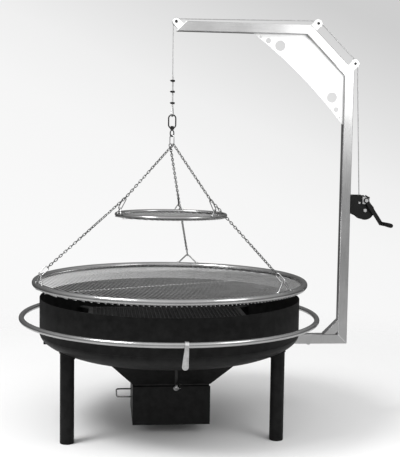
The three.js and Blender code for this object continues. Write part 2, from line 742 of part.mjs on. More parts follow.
// Pulleys: a twin-cheek bracket with its riveted pin and a grooved sheave, drawn about the pin
const cheekInside = sheaveHalfWidth + fit;
const cheekOutside = cheekInside + pulleyCheekThickness;
const cheekFoot = fit - pulleyStandoff;
const cheekShape = new THREE.Shape();
cheekShape.moveTo(-pulleyCheekHalf, cheekFoot);
cheekShape.lineTo(pulleyCheekHalf, cheekFoot);
cheekShape.lineTo(pulleyCheekRound, 0);
cheekShape.absarc(0, 0, pulleyCheekRound, 0, Math.PI, false);
cheekShape.lineTo(-pulleyCheekHalf, cheekFoot);
const bracketFoot = boxBetween(
  -pulleyCheekHalf,
  pulleyCheekHalf,
  -cheekOutside,
  cheekOutside,
  cheekFoot,
  cheekFoot + pulleyCheekThickness,
);
const pinReach = cheekOutside + pulleyPinHeadHeight;
const pulleyBracket = joined([
  sideSolid(cheekShape, cheekInside, cheekOutside, 8),
  sideSolid(cheekShape, -cheekOutside, -cheekInside, 8),
  bracketFoot,
  rodAlongY(pulleyPin, 0, 0, -pinReach, pinReach, 8),
  rodAlongY(pulleyPinHead, 0, 0, -pinReach, -cheekOutside, 6),
  rodAlongY(pulleyPinHead, 0, 0, cheekOutside, pinReach, 6),
]);
const grooveHalf = ropeRadius + 2 * fit;
const grooveFoot = sheavePitch - grooveHalf * Math.SQRT2;
const sheave = turnedAlongY([
  [pulleyPin + fit, -sheaveHalfWidth],
  [sheaveRadius, -sheaveHalfWidth],
  [sheaveRadius, sheaveRim - sheaveHalfWidth],
  [sheavePitch, -grooveHalf],
  [grooveFoot, 0],
  [sheavePitch, grooveHalf],
  [sheaveRadius, sheaveHalfWidth - sheaveRim],
  [sheaveRadius, sheaveHalfWidth],
  [pulleyPin + fit, sheaveHalfWidth],
  [pulleyPin + fit, -sheaveHalfWidth],
], 16);
const cornerOut = (place, along) => {
  const direction = directionOf(1);
  const [x, z] = armOutside[place];
  return [
    x + direction.x * along - direction.z * pulleyStandoff,
    z + direction.z * along + direction.x * pulleyStandoff,
  ];
};
const tipPulley = [sheavePitch, boomUnder + sheavePitch - boomTipX + pulleyStandoff * Math.SQRT2];
const upperPulley = cornerOut(1, cornerSetback);
const lowerPulley = cornerOut(2, -cornerSetback);
const pulleys = [['tip', tipPulley, -45], ['upper', upperPulley, 45], ['lower', lowerPulley, 45]];
for (const [name, place, turn] of pulleys) {
  const mount = new THREE.Group();
  mount.position.set(place[0], 0, place[1]);
  mount.rotation.y = radians(turn);
  grill.add(mount);
  piece(`${name}_bracket`, pulleyBracket, stainless, mount);
  piece(`${name}_sheave`, sheave, zincSteel, mount);
}

// Curve through given points, with one step of the tube for each stretch between two of them
class PointRoute extends THREE.Curve {
  constructor(points) {
    super();
    this.points = points;
  }

  getPoint(share, target = new THREE.Vector3()) {
    const place = share * (this.points.length - 1);
    const index = Math.min(Math.floor(place), this.points.length - 2);
    return target.copy(this.points[index]).lerp(this.points[index + 1], place - index);
  }

  getUtoTmapping(share) {
    return share;
  }
}
const routedWire = (points, radius, sides) =>
  wireAlong(new PointRoute(points), radius, sides, points.length - 1);

// Points on a circle in X and Z, between two angles in degrees
function arcPoints([x, z], radius, from, to, steps, y = 0) {
  const points = [];
  for (let i = 0; i <= steps; i += 1) {
    const angle = radians(from + ((to - from) * i) / steps);
    points.push(new THREE.Vector3(x + radius * Math.cos(angle), y, z + radius * Math.sin(angle)));
  }
  return points;
}

// Box handle: bent wire on the outer end of the box
const handleOut = handleReach - handleWire;
const handleShares = [[0, 1], [0.75, 1], [0.93, 0.95], [1, 0.8]];
const handleSide = (sign) => handleShares.map(([out, half]) => {
  const reach = Math.max(out * handleOut, fit);
  return new THREE.Vector3(-boxHalf - reach, sign * half * handleHalf, handleHeight);
});
piece('box_handle', routedWire([...handleSide(-1), ...handleSide(1).reverse()], handleWire, 8), zincSteel);

// Winding: a layer of rope on the drum, under the end of the run
const windRadius = drumCore + ropeRadius + fit;
const runRadius = windRadius + 2 * ropeRadius + 4 * fit; // the run comes in on top of the wound layer
const windWidth = windingTurns * windingPitch;
const gearBack = fit - winchHalfWidth;
const gearFront = gearBack + gearThickness;
const flangeInside = winchHalfWidth - fit - drumFlangeThickness;
const windStart = (gearFront + flangeInside - windWidth) / 2;
const runVector = [winchAxisX - lowerPulley[0], drumAxisZ - lowerPulley[1]];
const runTilt = Math.asin((sheavePitch + runRadius) / Math.hypot(...runVector));
const runAngle = THREE.MathUtils.radToDeg(Math.atan2(runVector[1], runVector[0]) - runTilt);
const windAngle = runAngle - 90;
const windSteps = 24;
const fullTurn = 360;
const windCount = windingTurns * windSteps;
const onDrum = (radius, turn) => {
  const angle = radians(windAngle + turn);
  const y = windStart + (windingPitch * turn) / fullTurn;
  const x = winchAxisX + radius * Math.cos(angle);
  return new THREE.Vector3(x, y, drumAxisZ + radius * Math.sin(angle));
};
const windPoints = [];
for (let i = 0; i <= windCount; i += 1) windPoints.push(onDrum(windRadius, (fullTurn * i) / windSteps));
const straightEnd = (from, towards) => {
  const direction = new THREE.Vector3().subVectors(from, towards).setLength(2 * ropeRadius);
  return new THREE.Vector3().addVectors(from, direction);
};
const woundRope = [
  straightEnd(windPoints[0], windPoints[1]),
  ...windPoints,
  straightEnd(windPoints[windCount], windPoints[windCount - 1]),
];
let leastGap = Infinity;
for (let i = 0; i < woundRope.length; i += 1) {
  for (let j = i + windSteps / 2; j < woundRope.length; j += 1) {
    leastGap = Math.min(leastGap, woundRope[i].distanceTo(woundRope[j]) - 2 * ropeRadius);
  }
}
console.log(`wound rope: least gap to itself ${leastGap.toFixed(2)} mm`);
piece('rope_wound', routedWire(woundRope, ropeRadius, 6), ropeSteel);

// Rope run from the boom tip over three sheaves to the drum, and the fall at the tip
const tipRise = upperPulley[1] - tipPulley[1];
const tipLine = THREE.MathUtils.radToDeg(Math.atan2(tipRise, upperPulley[0] - tipPulley[0]));
const runStretch = (points, to, count) => {
  const from = points[points.length - 1];
  for (let i = 1; i < count; i += 1) points.push(from.clone().lerp(to, i / count));
};
const upperArc = arcPoints(upperPulley, sheavePitch, tipLine + 90, 45, 3);
const lowerArc = arcPoints(lowerPulley, sheavePitch, 45, runAngle + 90, 4);
const runPoints = arcPoints(tipPulley, sheavePitch, 180, tipLine + 90, 6);
runStretch(runPoints, upperArc[0], 8);
runPoints.push(...upperArc);
runStretch(runPoints, lowerArc[0], 3);
runPoints.push(...lowerArc);
const runFoot = [0, 20, 40, 60].map((turn) => onDrum(runRadius, fullTurn + turn));
runStretch(runPoints, runFoot[0], 8);
runPoints.push(...runFoot);
piece('rope_run', routedWire(runPoints, ropeRadius, 8), ropeSteel);
piece('rope_fall', rodAlongZ(ropeRadius, 0, 0, loopTop + fit, tipPulley[1] - fit, 8), ropeSteel);

// Toothed wheel outline about the origin; a tooth points along the given angle
function gearOutline(teeth, angle) {
  const pitchRadius = (gearModule * teeth) / 2;
  const toothShares = [
    [-0.31, pitchRadius - gearModule * 1.25],
    [-0.1, pitchRadius + gearModule * 0.85],
    [0.1, pitchRadius + gearModule * 0.85],
    [0.31, pitchRadius - gearModule * 1.25],
  ];
  const points = [];
  for (let tooth = 0; tooth < teeth; tooth += 1) {
    for (const [share, radius] of toothShares) {
      const turn = radians(angle) + (2 * Math.PI * (tooth + share)) / teeth;
      points.push([radius * Math.cos(turn), radius * Math.sin(turn)]);
    }
  }
  return points;
}

// Winch: folded frame on the post, drum with its gear, shafts, crank and grip
const crankAxisZ = drumAxisZ + (gearModule * (gearTeeth + pinionTeeth)) / 2;
const plateOutside = winchHalfWidth + winchPlate;
const frameX = postOuter + fit;
const plateShape = new THREE.Shape();
plateShape.moveTo(frameX, winchPlateTop);
plateShape.lineTo(frameX + winchPlateFlat, winchPlateTop);
plateShape.absarc(winchAxisX, drumAxisZ, winchPlateRound, radians(20), radians(-140), true);
plateShape.lineTo(frameX, winchPlateLeftFoot);
const cutEnd = plateOutside + overrun;
const shaftCut = (z) => rodAlongY(shaftRadius + fit, winchAxisX, z, -cutEnd, cutEnd, 12);
const boltX = frameX + winchPlateFlat - 1.25 * hubHalf;
const boltZ = (drumAxisZ + winchPlateTop) / 2;
const boltShank = boltHead - winchPlate / 2;
const boltCut = rodAlongY(boltShank + fit, boltX, boltZ, -plateOutside - overrun, 0);
const framePlates = [
  sideSolid(plateShape, winchHalfWidth, plateOutside, 12),
  sideSolid(plateShape, -plateOutside, -winchHalfWidth, 12),
  boxBetween(frameX, frameX + winchPlate, -plateOutside, plateOutside, winchPlateLeftFoot, winchPlateTop),
];
piece('winch_frame', joined(framePlates, [shaftCut(drumAxisZ), shaftCut(crankAxisZ), boltCut]), blackSteel);
const boltFront = -plateOutside - fit;
piece('winch_bolt', joined([
  rodAlongY(boltShank, boltX, boltZ, boltFront - boltHeadHeight, -winchHalfWidth, 12),
  rodAlongY(boltHead, boltX, boltZ, boltFront - boltHeadHeight, boltFront, 6),
]), zincSteel);
const drumBody = turnedAlongY([
  [0, gearBack],
  [drumCore, gearBack],
  [drumCore, flangeInside],
  [drumFlange, flangeInside],
  [drumFlange, flangeInside + drumFlangeThickness],
  [0, flangeInside + drumFlangeThickness],
], 24);
const drumBore = rodAlongY(shaftRadius + fit, 0, 0, gearBack - overrun, winchHalfWidth + overrun);
const drumGear = sideSolid(gearOutline(gearTeeth, 90), gearBack, gearFront);
const drumPiece = piece('winch_drum', joined([drumBody, drumGear], [drumBore]), darkSteel);
drumPiece.position.set(winchAxisX, 0, drumAxisZ);
const shaftWithHeads = (front, back, headRadius) => joined([
  rodAlongY(shaftRadius, 0, 0, front - boltHeadHeight, back + boltHeadHeight, 16),
  rodAlongY(headRadius, 0, 0, front - boltHeadHeight, front, 6),
  rodAlongY(headRadius, 0, 0, back, back + boltHeadHeight, 6),
]);
const shaftHead = shaftRadius + boltHead / 2;
const drumShaft = shaftWithHeads(-plateOutside - fit, plateOutside + fit, shaftHead);
piece('drum_shaft', drumShaft, zincSteel).position.set(winchAxisX, 0, drumAxisZ);
const hubBack = -plateOutside - fit;
const hubFront = hubBack - hubThickness;
const armBack = hubFront - fit;
const armFront = armBack - crankThickness;
const latchPlace = [hubHalf - pawlWidth / 2 - weld, hubHalf - pawlWidth / 2];
const latchHoleEnd = hubFront + hubThickness / 2;
const latchCut = rodAlongY(pawlWidth / 4 + fit, ...latchPlace, hubFront - overrun, latchHoleEnd);
const crankShaft = joined([
  shaftWithHeads(armFront - fit, plateOutside + fit, shaftHead),
  boxBetween(-hubHalf, hubHalf, hubFront, hubBack, -hubHalf, hubHalf),
  sideSolid(gearOutline(pinionTeeth, -90 + 180 / pinionTeeth), gearBack, gearFront),
], [latchCut]);
piece('crank_shaft', crankShaft, zincSteel).position.set(winchAxisX, 0, crankAxisZ);
const crankLine = [[0, 0], [crankReachX, crankReachZ], [crankReachX + crankFootX, crankReachZ + crankFootZ]];
const crankBack = offsetLine(crankLine, -crankWidth / 2).reverse();
const crankEdge = [...offsetLine(crankLine, crankWidth / 2), ...crankBack];
const crankEnd = crankLine[2];
const gripFront = armFront - fit - gripLength;
const crankArm = joined([
  sideSolid(crankEdge, armFront, armBack),
  rodAlongY(2 * shaftRadius, 0, 0, armFront, armBack, 20),
  rodAlongY(crankWidth / 2, ...crankEnd, armFront, armBack, 20),
  rodAlongY(gripPin, ...crankEnd, gripFront - fit - gripPinHead / 2, armBack, 12),
  rodAlongY(gripPinHead, ...crankEnd, gripFront - fit - gripPinHead / 2, gripFront - fit, 12),
], [rodAlongY(shaftRadius + fit, 0, 0, armFront - overrun, armBack + overrun)]);
piece('crank_arm', crankArm, blackSteel).position.set(winchAxisX, 0, crankAxisZ);
const gripBulgeShares = [[0, 0.86], [0.12, 0.96], [0.45, 1], [0.85, 0.94], [1, 0.82]];
const gripPoint = ([share, swell]) => [gripRadius * swell, gripFront + gripLength * share];
const gripProfile = gripBulgeShares.map(gripPoint);
gripProfile.unshift([gripPin + fit, gripFront]);
gripProfile.push([gripPin + fit, gripFront + gripLength], [gripPin + fit, gripFront]);
const crankGrip = piece('crank_grip', turnedAlongY(gripProfile, 14), gripPlastic);
crankGrip.position.set(winchAxisX + crankEnd[0], 0, crankAxisZ + crankEnd[1]);
const latchReach = [-pawlLength * Math.cos(Math.PI / 6), pawlLength / 2];
const latchTip = latchReach.map((reach, i) => latchPlace[i] + reach);
const latchSides = [latchPlace, latchTip];
const latchBack = offsetLine(latchSides, -pawlWidth / 3).reverse();
const latchEdge = [...offsetLine(latchSides, pawlWidth / 2), ...latchBack];
const latch = joined([
  sideSolid(latchEdge, armBack - pawlThickness, armBack),
  rodAlongY(pawlWidth / 2, ...latchPlace, armBack - pawlThickness, armBack, 12),
  rodAlongY(pawlWidth / 4, ...latchPlace, armBack - pawlThickness, hubFront + hubThickness / 3, 10),
]);
piece('crank_latch', latch, darkSteel).position.set(winchAxisX, 0, crankAxisZ);

// Rope loop: down from the fall, round the thimble and up beside itself; drawn in a plane that is turned
const loopTurn = 60;
const upright = new THREE.Vector3(0, 0, 1);
const inLoopPlane = (reach, z) =>
  new THREE.Vector3(reach, 0, z).applyAxisAngle(upright, radians(loopTurn));
const eyeRadius = (thimbleRadius + thimbleSheet + fit + ropeRadius) / Math.cos(radians(15));
const eyeCentre = bowTop - 2 * bowWire - bowBend - fit + thimbleRadius;
const strandGap = 2 * ropeRadius + 3 * fit;
const neckTop = eyeCentre + loopNeck;
const loopRoute = [[0, loopTop], [0, (loopTop + neckTop) / 2], [0, neckTop]];
for (const share of [0.3, 0.65]) loopRoute.push([-eyeRadius * share, neckTop - loopNeck * (0.12 + share)]);
for (let angle = 180; angle <= 360; angle += 30) {
  const [across, down] = [Math.cos(radians(angle)), Math.sin(radians(angle))];
  loopRoute.push([eyeRadius * across, eyeCentre + eyeRadius * down]);
}
loopRoute.push([(eyeRadius + strandGap) / 2 + ropeRadius / 2, neckTop - loopNeck * 0.66]);
loopRoute.push([strandGap + ropeRadius / 3, neckTop - loopNeck * 0.3]);
loopRoute.push([strandGap, neckTop], [strandGap, (loopTop + neckTop) / 2]);
loopRoute.push([strandGap, loopTop - 2 * ropeRadius]);
const loopPoints = loopRoute.map(([reach, z]) => inLoopPlane(reach, z));
piece('rope_loop', routedWire(loopPoints, ropeRadius, 8), ropeSteel);
const thimbleShape = new THREE.Shape();
thimbleShape.absarc(0, 0, thimbleRadius + thimbleSheet, radians(178), radians(362), false);
thimbleShape.absarc(0, 0, thimbleRadius, radians(362), radians(178), true);
const thimble = piece('thimble', joined([sideSolid(thimbleShape, -ropeRadius, ropeRadius, 8)]), zincSteel);
thimble.position.z = eyeCentre;
thimble.rotation.z = radians(loopTurn);

// Rope clips: a saddle round both strands with two threaded ends and their nuts
const clipEnd = strandGap + clipHalf;
const strandCut = (reach) => rodAlongZ(ropeRadius + fit, reach, 0, -clipHeight, clipHeight, 8);
const studs = [-1, 1].flatMap((side) => [
  new THREE.CylinderGeometry(clipWire, clipWire, 2 * clipHalf, 6).rotateZ(Math.PI / 2)
    .translate(-clipHalf - clipNut, side * (clipHalf - clipWire), 0),
  new THREE.CylinderGeometry(clipNut, clipNut, clipNut, 6).rotateZ(Math.PI / 2)
    .translate(-clipHalf - clipNut / 3, side * (clipHalf - clipWire), 0),
]);
const saddle = boxBetween(-clipHalf, clipEnd, -clipHalf, clipHalf, -clipHeight / 2, clipHeight / 2);
const clipSolid = joined([saddle, ...studs], [strandCut(0), strandCut(strandGap)]);
clipHeights.forEach((height, index) => {
  const clip = piece(`rope_clip_${index + 1}`, clipSolid, darkSteel);
  clip.position.z = height;
  clip.rotation.z = radians(loopTurn);
});

// Swivel: a bow with a collar, and an eye whose headed stem turns in the collar
const bowInner = bowHalf - 2 * bowWire;
const collarTop = bowFoot + collarHeight / 2;
const bowLength = bowTop - bowFoot - 3 * bowWire;
const bowCentre = bowTop - 2 * bowWire - bowLength / 2;
const bowLink = ovalLink(bowWire, bowInner, bowLength, 6, 10).translate(0, 0, bowCentre);
const collar = rodAlongZ(collarRadius, 0, 0, collarTop - collarHeight, collarTop, 14);
const collarUnder = collarTop - collarHeight;
const stemCut = rodAlongZ(stemRadius + fit, 0, 0, collarUnder - overrun, collarTop + overrun, 14);
const headRoom = rodAlongZ(stemHead + fit, 0, 0, collarTop, collarTop + stemHeadHeight + 2 * fit, 14);
piece('swivel_bow', joined([bowLink, collar], [stemCut, headRoom]), darkSteel);
const eyeTop = collarTop - collarHeight - fit;
const eyeFoot = eyeTop - eyeLengthOutside;
const eyeLength = eyeLengthOutside - 4 * eyeWire;
const eyeMiddle = (eyeTop + eyeFoot) / 2;
const eyeLink = ovalLink(eyeWire, eyeHalf - 2 * eyeWire, eyeLength, 6, 10).translate(0, 0, eyeMiddle);
const stem = rodAlongZ(stemRadius, 0, 0, eyeTop - eyeWire, collarTop + fit + stemHeadHeight, 12);
const head = rodAlongZ(stemHead, 0, 0, collarTop + fit, collarTop + fit + stemHeadHeight, 12);
piece('swivel_eye', joined([eyeLink.rotateZ(radians(eyeTurn)), stem, head]), darkSteel);

// Master ring: hangs in the eye and carries the three chains
const masterInner = masterHalf - 2 * masterWire;
const masterStretch = masterLength / 2 - 2 * masterWire - masterInner;
const masterCentre = eyeFoot + 2 * eyeWire + fit - (masterInner + masterStretch);
const masterLink = ovalLink(masterWire, masterInner, masterLength - 4 * masterWire, 6, 12);
const masterRing = piece('master_ring', masterLink, zincSteel);
masterRing.position.z = masterCentre;
masterRing.rotation.z = radians(masterTurn);

// Round grates: tube ring with bent-wire brackets, and bars on cross bars under it
const gratePoint = (plan, reach, along, z) => new THREE.Vector3(reach, along, z)
  .applyAxisAngle(new THREE.Vector3(0, 0, 1), radians(plan));
const veeShares = [[-1, 0], [-0.9, 0.14], [-0.12, 0.94], [0, 1], [0.12, 0.94], [0.9, 0.14], [1, 0]];
function grateRing(name, radius, tube, height, vee, sides, steps) {
  const foot = height + tube / 2;
  const top = height + tube + vee.rise;
  const parts = [new THREE.TorusGeometry(radius, tube, sides, steps).translate(0, 0, height)];
  for (const { plan } of chains) {
    const points = veeShares.map(([along, up]) => (
      gratePoint(plan, radius - vee.lean * up, along * vee.half, foot + (top - foot) * up)
    ));
    parts.push(routedWire(points, vee.wire, 4));
  }
  piece(name, joined(parts), grateSteel);
}
function grateBars(name, radius, tube, height) {
  const reach = radius + barOverhang;
  const count = Math.floor(radius / barPitch);
  const top = height - tube * Math.cos(Math.PI / 6) - fit;
  const bars = barGrid(count, (offset) => Math.sqrt(reach ** 2 - offset ** 2), radius, top);
  piece(name, bars.rotateZ(radians(barTurn)), grateSteel);
}
grateRing('big_grate_ring', bigRadius, bigTube, bigHeight, bigVee, 6, 40);
grateBars('big_grate_bars', bigRadius, bigTube, bigHeight);
grateRing('small_grate_ring', smallRadius, smallTube, smallHeight, smallVee, 6, 30);
grateBars('small_grate_bars', smallRadius, smallTube, smallHeight);

// Places a link so that its long axis lies along one direction and its width along another
function placedLink(link, centre, along, across) {
  const side = across.clone().addScaledVector(along, -across.dot(along)).normalize();
  const frame = new THREE.Matrix4().makeBasis(side, new THREE.Vector3().crossVectors(along, side), along);
  return link.applyMatrix4(frame.setPosition(centre));
}

// Links between two places, each turned a quarter against the one before it
function linkRun(from, to, firstHalf, firstAcross, lastAcross) {
  const along = new THREE.Vector3().subVectors(to, from);
  const distance = along.length();
  along.normalize();
  const count = Math.round((distance - firstHalf + linkPitch / 2) / linkPitch);
  const half = (distance - firstHalf - count * weld) / (2 * count - 1);
  const side = firstAcross.clone().addScaledVector(along, -firstAcross.dot(along)).normalize();
  const turnTo = new THREE.Vector3().crossVectors(along, side);
  const wanted = Math.atan2(lastAcross.dot(turnTo), lastAcross.dot(side));
  const quarter = Math.PI / 2;
  const miss = wanted - count * quarter;
  const twist = (miss - Math.PI * Math.round(miss / Math.PI)) / count;
  const links = [];
  for (let i = 1; i <= count; i += 1) {
    const across = side.clone().applyAxisAngle(along, i * (quarter + twist));
    const centre = from.clone().addScaledVector(along, firstHalf + i * weld + (2 * i - 1) * half);
    links.push(placedLink(chainLink(linkWire, linkInner, 2 * half), centre, along, across));
  }
  return { links, half, along };
}

// Chains: end link on the master ring, links to the small grate's hanger, and on to the connector
chains.forEach(({ plan, seat }, index) => {
  const out = gratePoint(plan, 1, 0, 0);
  const aside = gratePoint(plan, 0, 1, 0);
  const kink = gratePoint(plan, kinkRadius, 0, kinkHeight);
  const bigApex = gratePoint(plan, bigRadius - bigVee.lean, 0, bigHeight + bigTube + bigVee.rise);
  const smallApex = gratePoint(plan, smallRadius - smallVee.lean, 0, smallHeight + smallTube + smallVee.rise);
  const seatAngle = radians(seat);
  const ringRadius = masterInner + masterWire;
  const inRing = (across, up) => new THREE.Vector3(across, 0, up)
    .applyAxisAngle(new THREE.Vector3(0, 0, 1), radians(masterTurn));
  const seatHeight = ringRadius * Math.sin(seatAngle) + masterCentre - masterStretch;
  const seatPlace = inRing(ringRadius * Math.cos(seatAngle), seatHeight);
  const ringTangent = inRing(-Math.sin(seatAngle), Math.cos(seatAngle));
  const upperAlong = new THREE.Vector3().subVectors(kink, seatPlace).normalize();
  const endHalf = endLinkPitch / 2;
  const endCentre = seatPlace.clone().addScaledVector(upperAlong, endHalf - masterWire - 2 * fit);
  const endAcross = new THREE.Vector3().crossVectors(upperAlong, ringTangent);
  const endShape = chainLink(linkWire, endLinkInner, endLinkPitch);
  const endLink = placedLink(endShape, endCentre, upperAlong, endAcross);
  const upper = linkRun(endCentre, kink, endHalf, endAcross, aside);
  const lowerAlong = new THREE.Vector3().subVectors(bigApex, kink).normalize();
  const connectorFoot = bigApex.clone().addScaledVector(lowerAlong, bigVee.wire + 2 * fit);
  const connectorCentre = connectorFoot.clone().addScaledVector(lowerAlong, -connector.length / 2);
  const chainEnd = connectorFoot.clone().addScaledVector(lowerAlong, 2 * fit - connector.length);
  const lower = linkRun(kink, chainEnd.addScaledVector(lowerAlong, -linkPitch / 2), upper.half, aside, aside);
  const radial = new THREE.Vector3().crossVectors(lowerAlong, aside);
  const connectorLink = ovalLink(connector.wire, connector.inner, connector.length, 6, 8);
  piece(`connector_${index + 1}`, placedLink(connectorLink, connectorCentre, lowerAlong, radial), zincSteel);
  const hookDrop = upper.half + 2 * weld - 1.5 * linkWire - hangerWire;
  const hookPlace = kink.clone().addScaledVector(lowerAlong, hookDrop);
  const hangerAlong = new THREE.Vector3().subVectors(smallApex, hookPlace).normalize();
  const hangerTop = hookPlace.clone().addScaledVector(hangerAlong, hangerWire);
  const hangerFoot = smallApex.clone().addScaledVector(hangerAlong, 1.5 * smallVee.wire + 2 * fit);
  const hangerCentre = hangerTop.clone().lerp(hangerFoot, 1 / 2);
  const hanger = ovalLink(hangerWire, hangerInner, hangerTop.distanceTo(hangerFoot), 6, 8);
  const hangerLink = placedLink(hanger, hangerCentre, hangerAlong, out);
  piece(`chain_${index + 1}`, joined([endLink, ...upper.links, ...lower.links, hangerLink]), zincSteel);
});

// Origin under the middle of the whole object, at the floor
const bounds = new THREE.Box3().setFromObject(grill);
const middle = bounds.getCenter(new THREE.Vector3());
grill.position.set(-middle.x, -middle.y, -bounds.min.z);

export default grill;
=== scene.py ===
from math import cos, pi, radians, sin

import bmesh
import bpy
import numpy as np
from mathutils import Matrix, Vector


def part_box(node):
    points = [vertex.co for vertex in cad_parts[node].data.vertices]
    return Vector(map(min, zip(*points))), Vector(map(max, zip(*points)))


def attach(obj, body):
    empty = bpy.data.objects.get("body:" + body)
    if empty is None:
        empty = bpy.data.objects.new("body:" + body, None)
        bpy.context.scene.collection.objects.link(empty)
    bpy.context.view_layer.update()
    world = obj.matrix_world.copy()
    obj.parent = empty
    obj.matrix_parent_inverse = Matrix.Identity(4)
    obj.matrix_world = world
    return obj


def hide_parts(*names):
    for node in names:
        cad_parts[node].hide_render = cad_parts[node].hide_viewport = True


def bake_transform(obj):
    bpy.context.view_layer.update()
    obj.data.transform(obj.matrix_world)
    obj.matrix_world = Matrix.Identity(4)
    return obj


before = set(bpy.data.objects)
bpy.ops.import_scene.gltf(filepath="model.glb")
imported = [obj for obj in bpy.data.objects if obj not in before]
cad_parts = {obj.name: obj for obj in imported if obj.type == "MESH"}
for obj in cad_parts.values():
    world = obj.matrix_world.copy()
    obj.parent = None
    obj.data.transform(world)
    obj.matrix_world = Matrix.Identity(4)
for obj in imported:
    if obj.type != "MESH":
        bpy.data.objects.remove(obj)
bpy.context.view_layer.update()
scene = bpy.context.scene
bowlAxis = np.array([-0.1821, 0.0023, 0.0])  # middle of the bowl, the rope and the grates, in plan
up = np.array([0, 0, 1.0])
mm = 0.001
fit = 0.3 * mm  # gap between pieces that touch


# Quads between neighbouring points of a (rows, columns, 3) array, in which each row closes on itself
# Closed rows also join the last row to the first; ends names the rows that get a face
def gridPart(points, closedRows=False, ends=""):
    rows, columns = points.shape[:2]
    index = np.arange(rows * columns).reshape(rows, columns)
    i, j = np.meshgrid(np.arange(rows - (not closedRows)), np.arange(columns), indexing="ij")
    nextI, nextJ = (i + 1) % rows, (j + 1) % columns
    corners = [index[i, j], index[nextI, j], index[nextI, nextJ], index[i, nextJ]]
    faces = np.stack(corners, -1).reshape(-1, 4).tolist()
    if "first" in ends:
        faces.append(index[0].tolist())
    if "last" in ends:
        faces.append(index[-1][::-1].tolist())
    return points.reshape(-1, 3), faces


# A mesh object at the origin from parts, smooth but for edges sharper than an angle, riding on a body
def newPiece(name, parts, body, material, stoodFor=(), sharp=35):
    faces, start = [], 0
    for points, partFaces in parts:
        faces += [[start + corner for corner in face] for face in partFaces]
        start += len(points)
    mesh = bpy.data.meshes.new(name)
    mesh.from_pydata(np.concatenate([points for points, _ in parts]).tolist(), [], faces)
    shell = bmesh.new()
    shell.from_mesh(mesh)
    bmesh.ops.recalc_face_normals(shell, faces=shell.faces)
    shell.to_mesh(mesh)
    shell.free()
    return dress(bpy.data.objects.new(name, mesh), body, material, stoodFor, sharp)


# Gives a new object its place in the scene, its body, its finish and the nodes that it stands for
# A piece that is blended between two bodies comes without one
def dress(piece, body, material, stoodFor, sharp):
    scene.collection.objects.link(piece)
    piece.data.polygons.foreach_set("use_smooth", [True] * len(piece.data.polygons))
    piece.data.set_sharp_from_angle(angle=radians(sharp))
    piece.data.materials.clear()
    piece.data.materials.append(material)
    if body:
        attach(piece, body)
    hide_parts(*stoodFor)
    return piece


# For CAD meshes: the distance at which points merge, the angle at which faces do, and an edge's least angle
cleaning = {"merge": 0.02 * mm, "flat": radians(1), "sharp": 30}


# A copy of a CAD node with its doubles merged and its edges rounded by a live bevel
def rounded(node, name, body, material, width, steps=2):
    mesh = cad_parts[node].data.copy()
    shell = bmesh.new()
    shell.from_mesh(mesh)
    bmesh.ops.remove_doubles(shell, verts=shell.verts, dist=cleaning["merge"])
    bmesh.ops.dissolve_limit(shell, angle_limit=cleaning["flat"], verts=shell.verts, edges=shell.edges)
    shell.to_mesh(mesh)
    shell.free()
    piece = dress(bpy.data.objects.new(name, mesh), body, material, [node], cleaning["sharp"])
    bevel = piece.modifiers.new("edges", "BEVEL")
    bevel.width, bevel.segments, bevel.harden_normals = width, steps, False
    bevel.limit_method, bevel.angle_limit = "ANGLE", radians(cleaning["sharp"])
    return piece


# A section carried along a line of points: centre + r (cos a * side + sin a * up),
# with side = reference x direction and up = direction x side
# With n strands, r swells and dips by the lay: r = R (1 - depth (1 - |cos(n/2 (a - 2 pi s / lay))|))
def tubeAlong(line, radius, sides=16, closed=False, reference=(0, 1, 0), strands=0, lay=1, depth=0.2):
    line = np.asarray(line, float)
    ahead = np.roll(line, -1, 0) - np.roll(line, 1, 0) if closed else np.gradient(line, axis=0)
    ahead /= np.linalg.norm(ahead, axis=1)[:, None]
    side = np.cross(np.broadcast_to(reference, ahead.shape), ahead)
    side /= np.linalg.norm(side, axis=1)[:, None]
    up = np.cross(ahead, side)
    angle = np.arange(sides) * 2 * pi / sides
    grown = np.full((len(line), sides), float(radius))
    if strands:
        run = np.concatenate([[0], np.cumsum(np.linalg.norm(np.diff(line, axis=0), axis=1))])
        phase = angle[None, :] - 2 * pi * run[:, None] / lay
        grown *= 1 - depth * (1 - abs(np.cos(strands / 2 * phase)))
    across, over = np.cos(angle)[None, :, None], np.sin(angle)[None, :, None]
    ring = across * side[:, None, :] + over * up[:, None, :]
    points = line[:, None, :] + grown[:, :, None] * ring
    return gridPart(points, closedRows=closed, ends="" if closed else "first last")


# A profile of (radius, along) pairs turned about an axis through a place:
# place + axis * along + radius * (cos a * first + sin a * second)
def turned(profile, place, axis=(0, 0, 1), steps=96, closedProfile=True):
    profile, axis = np.asarray(profile, float), np.asarray(axis, float)
    first = np.array([0, 0, 1.0]) if abs(axis[2]) < 0.9 else np.array([1.0, 0, 0])
    first = np.cross(axis, first) / np.linalg.norm(np.cross(axis, first))
    second = np.cross(axis, first)
    angle = np.arange(steps) * 2 * pi / steps
    ring = np.cos(angle)[:, None] * first + np.sin(angle)[:, None] * second
    points = place + profile[:, 1, None, None] * axis + profile[:, 0, None, None] * ring[None]
    return gridPart(points, closedRows=closedProfile, ends="" if closedProfile else "first last")


# Corners of a line replaced by curves between start and end, set back along both sides:
# (1 - t)^2 * start + 2 t (1 - t) * corner + t^2 * end
def softened(corners, setback, steps):
    corners = [np.asarray(corner, float) for corner in corners]
    line = [corners[0]]
    for before, corner, after in zip(corners, corners[1:], corners[2:]):
        start = corner + (before - corner) / np.linalg.norm(before - corner) * setback
        end = corner + (after - corner) / np.linalg.norm(after - corner) * setback
        t = np.linspace(0, 1, steps + 1)[:, None]
        line += list((1 - t) ** 2 * start + 2 * t * (1 - t) * corner + t**2 * end)
    return np.array(line + [corners[-1]])


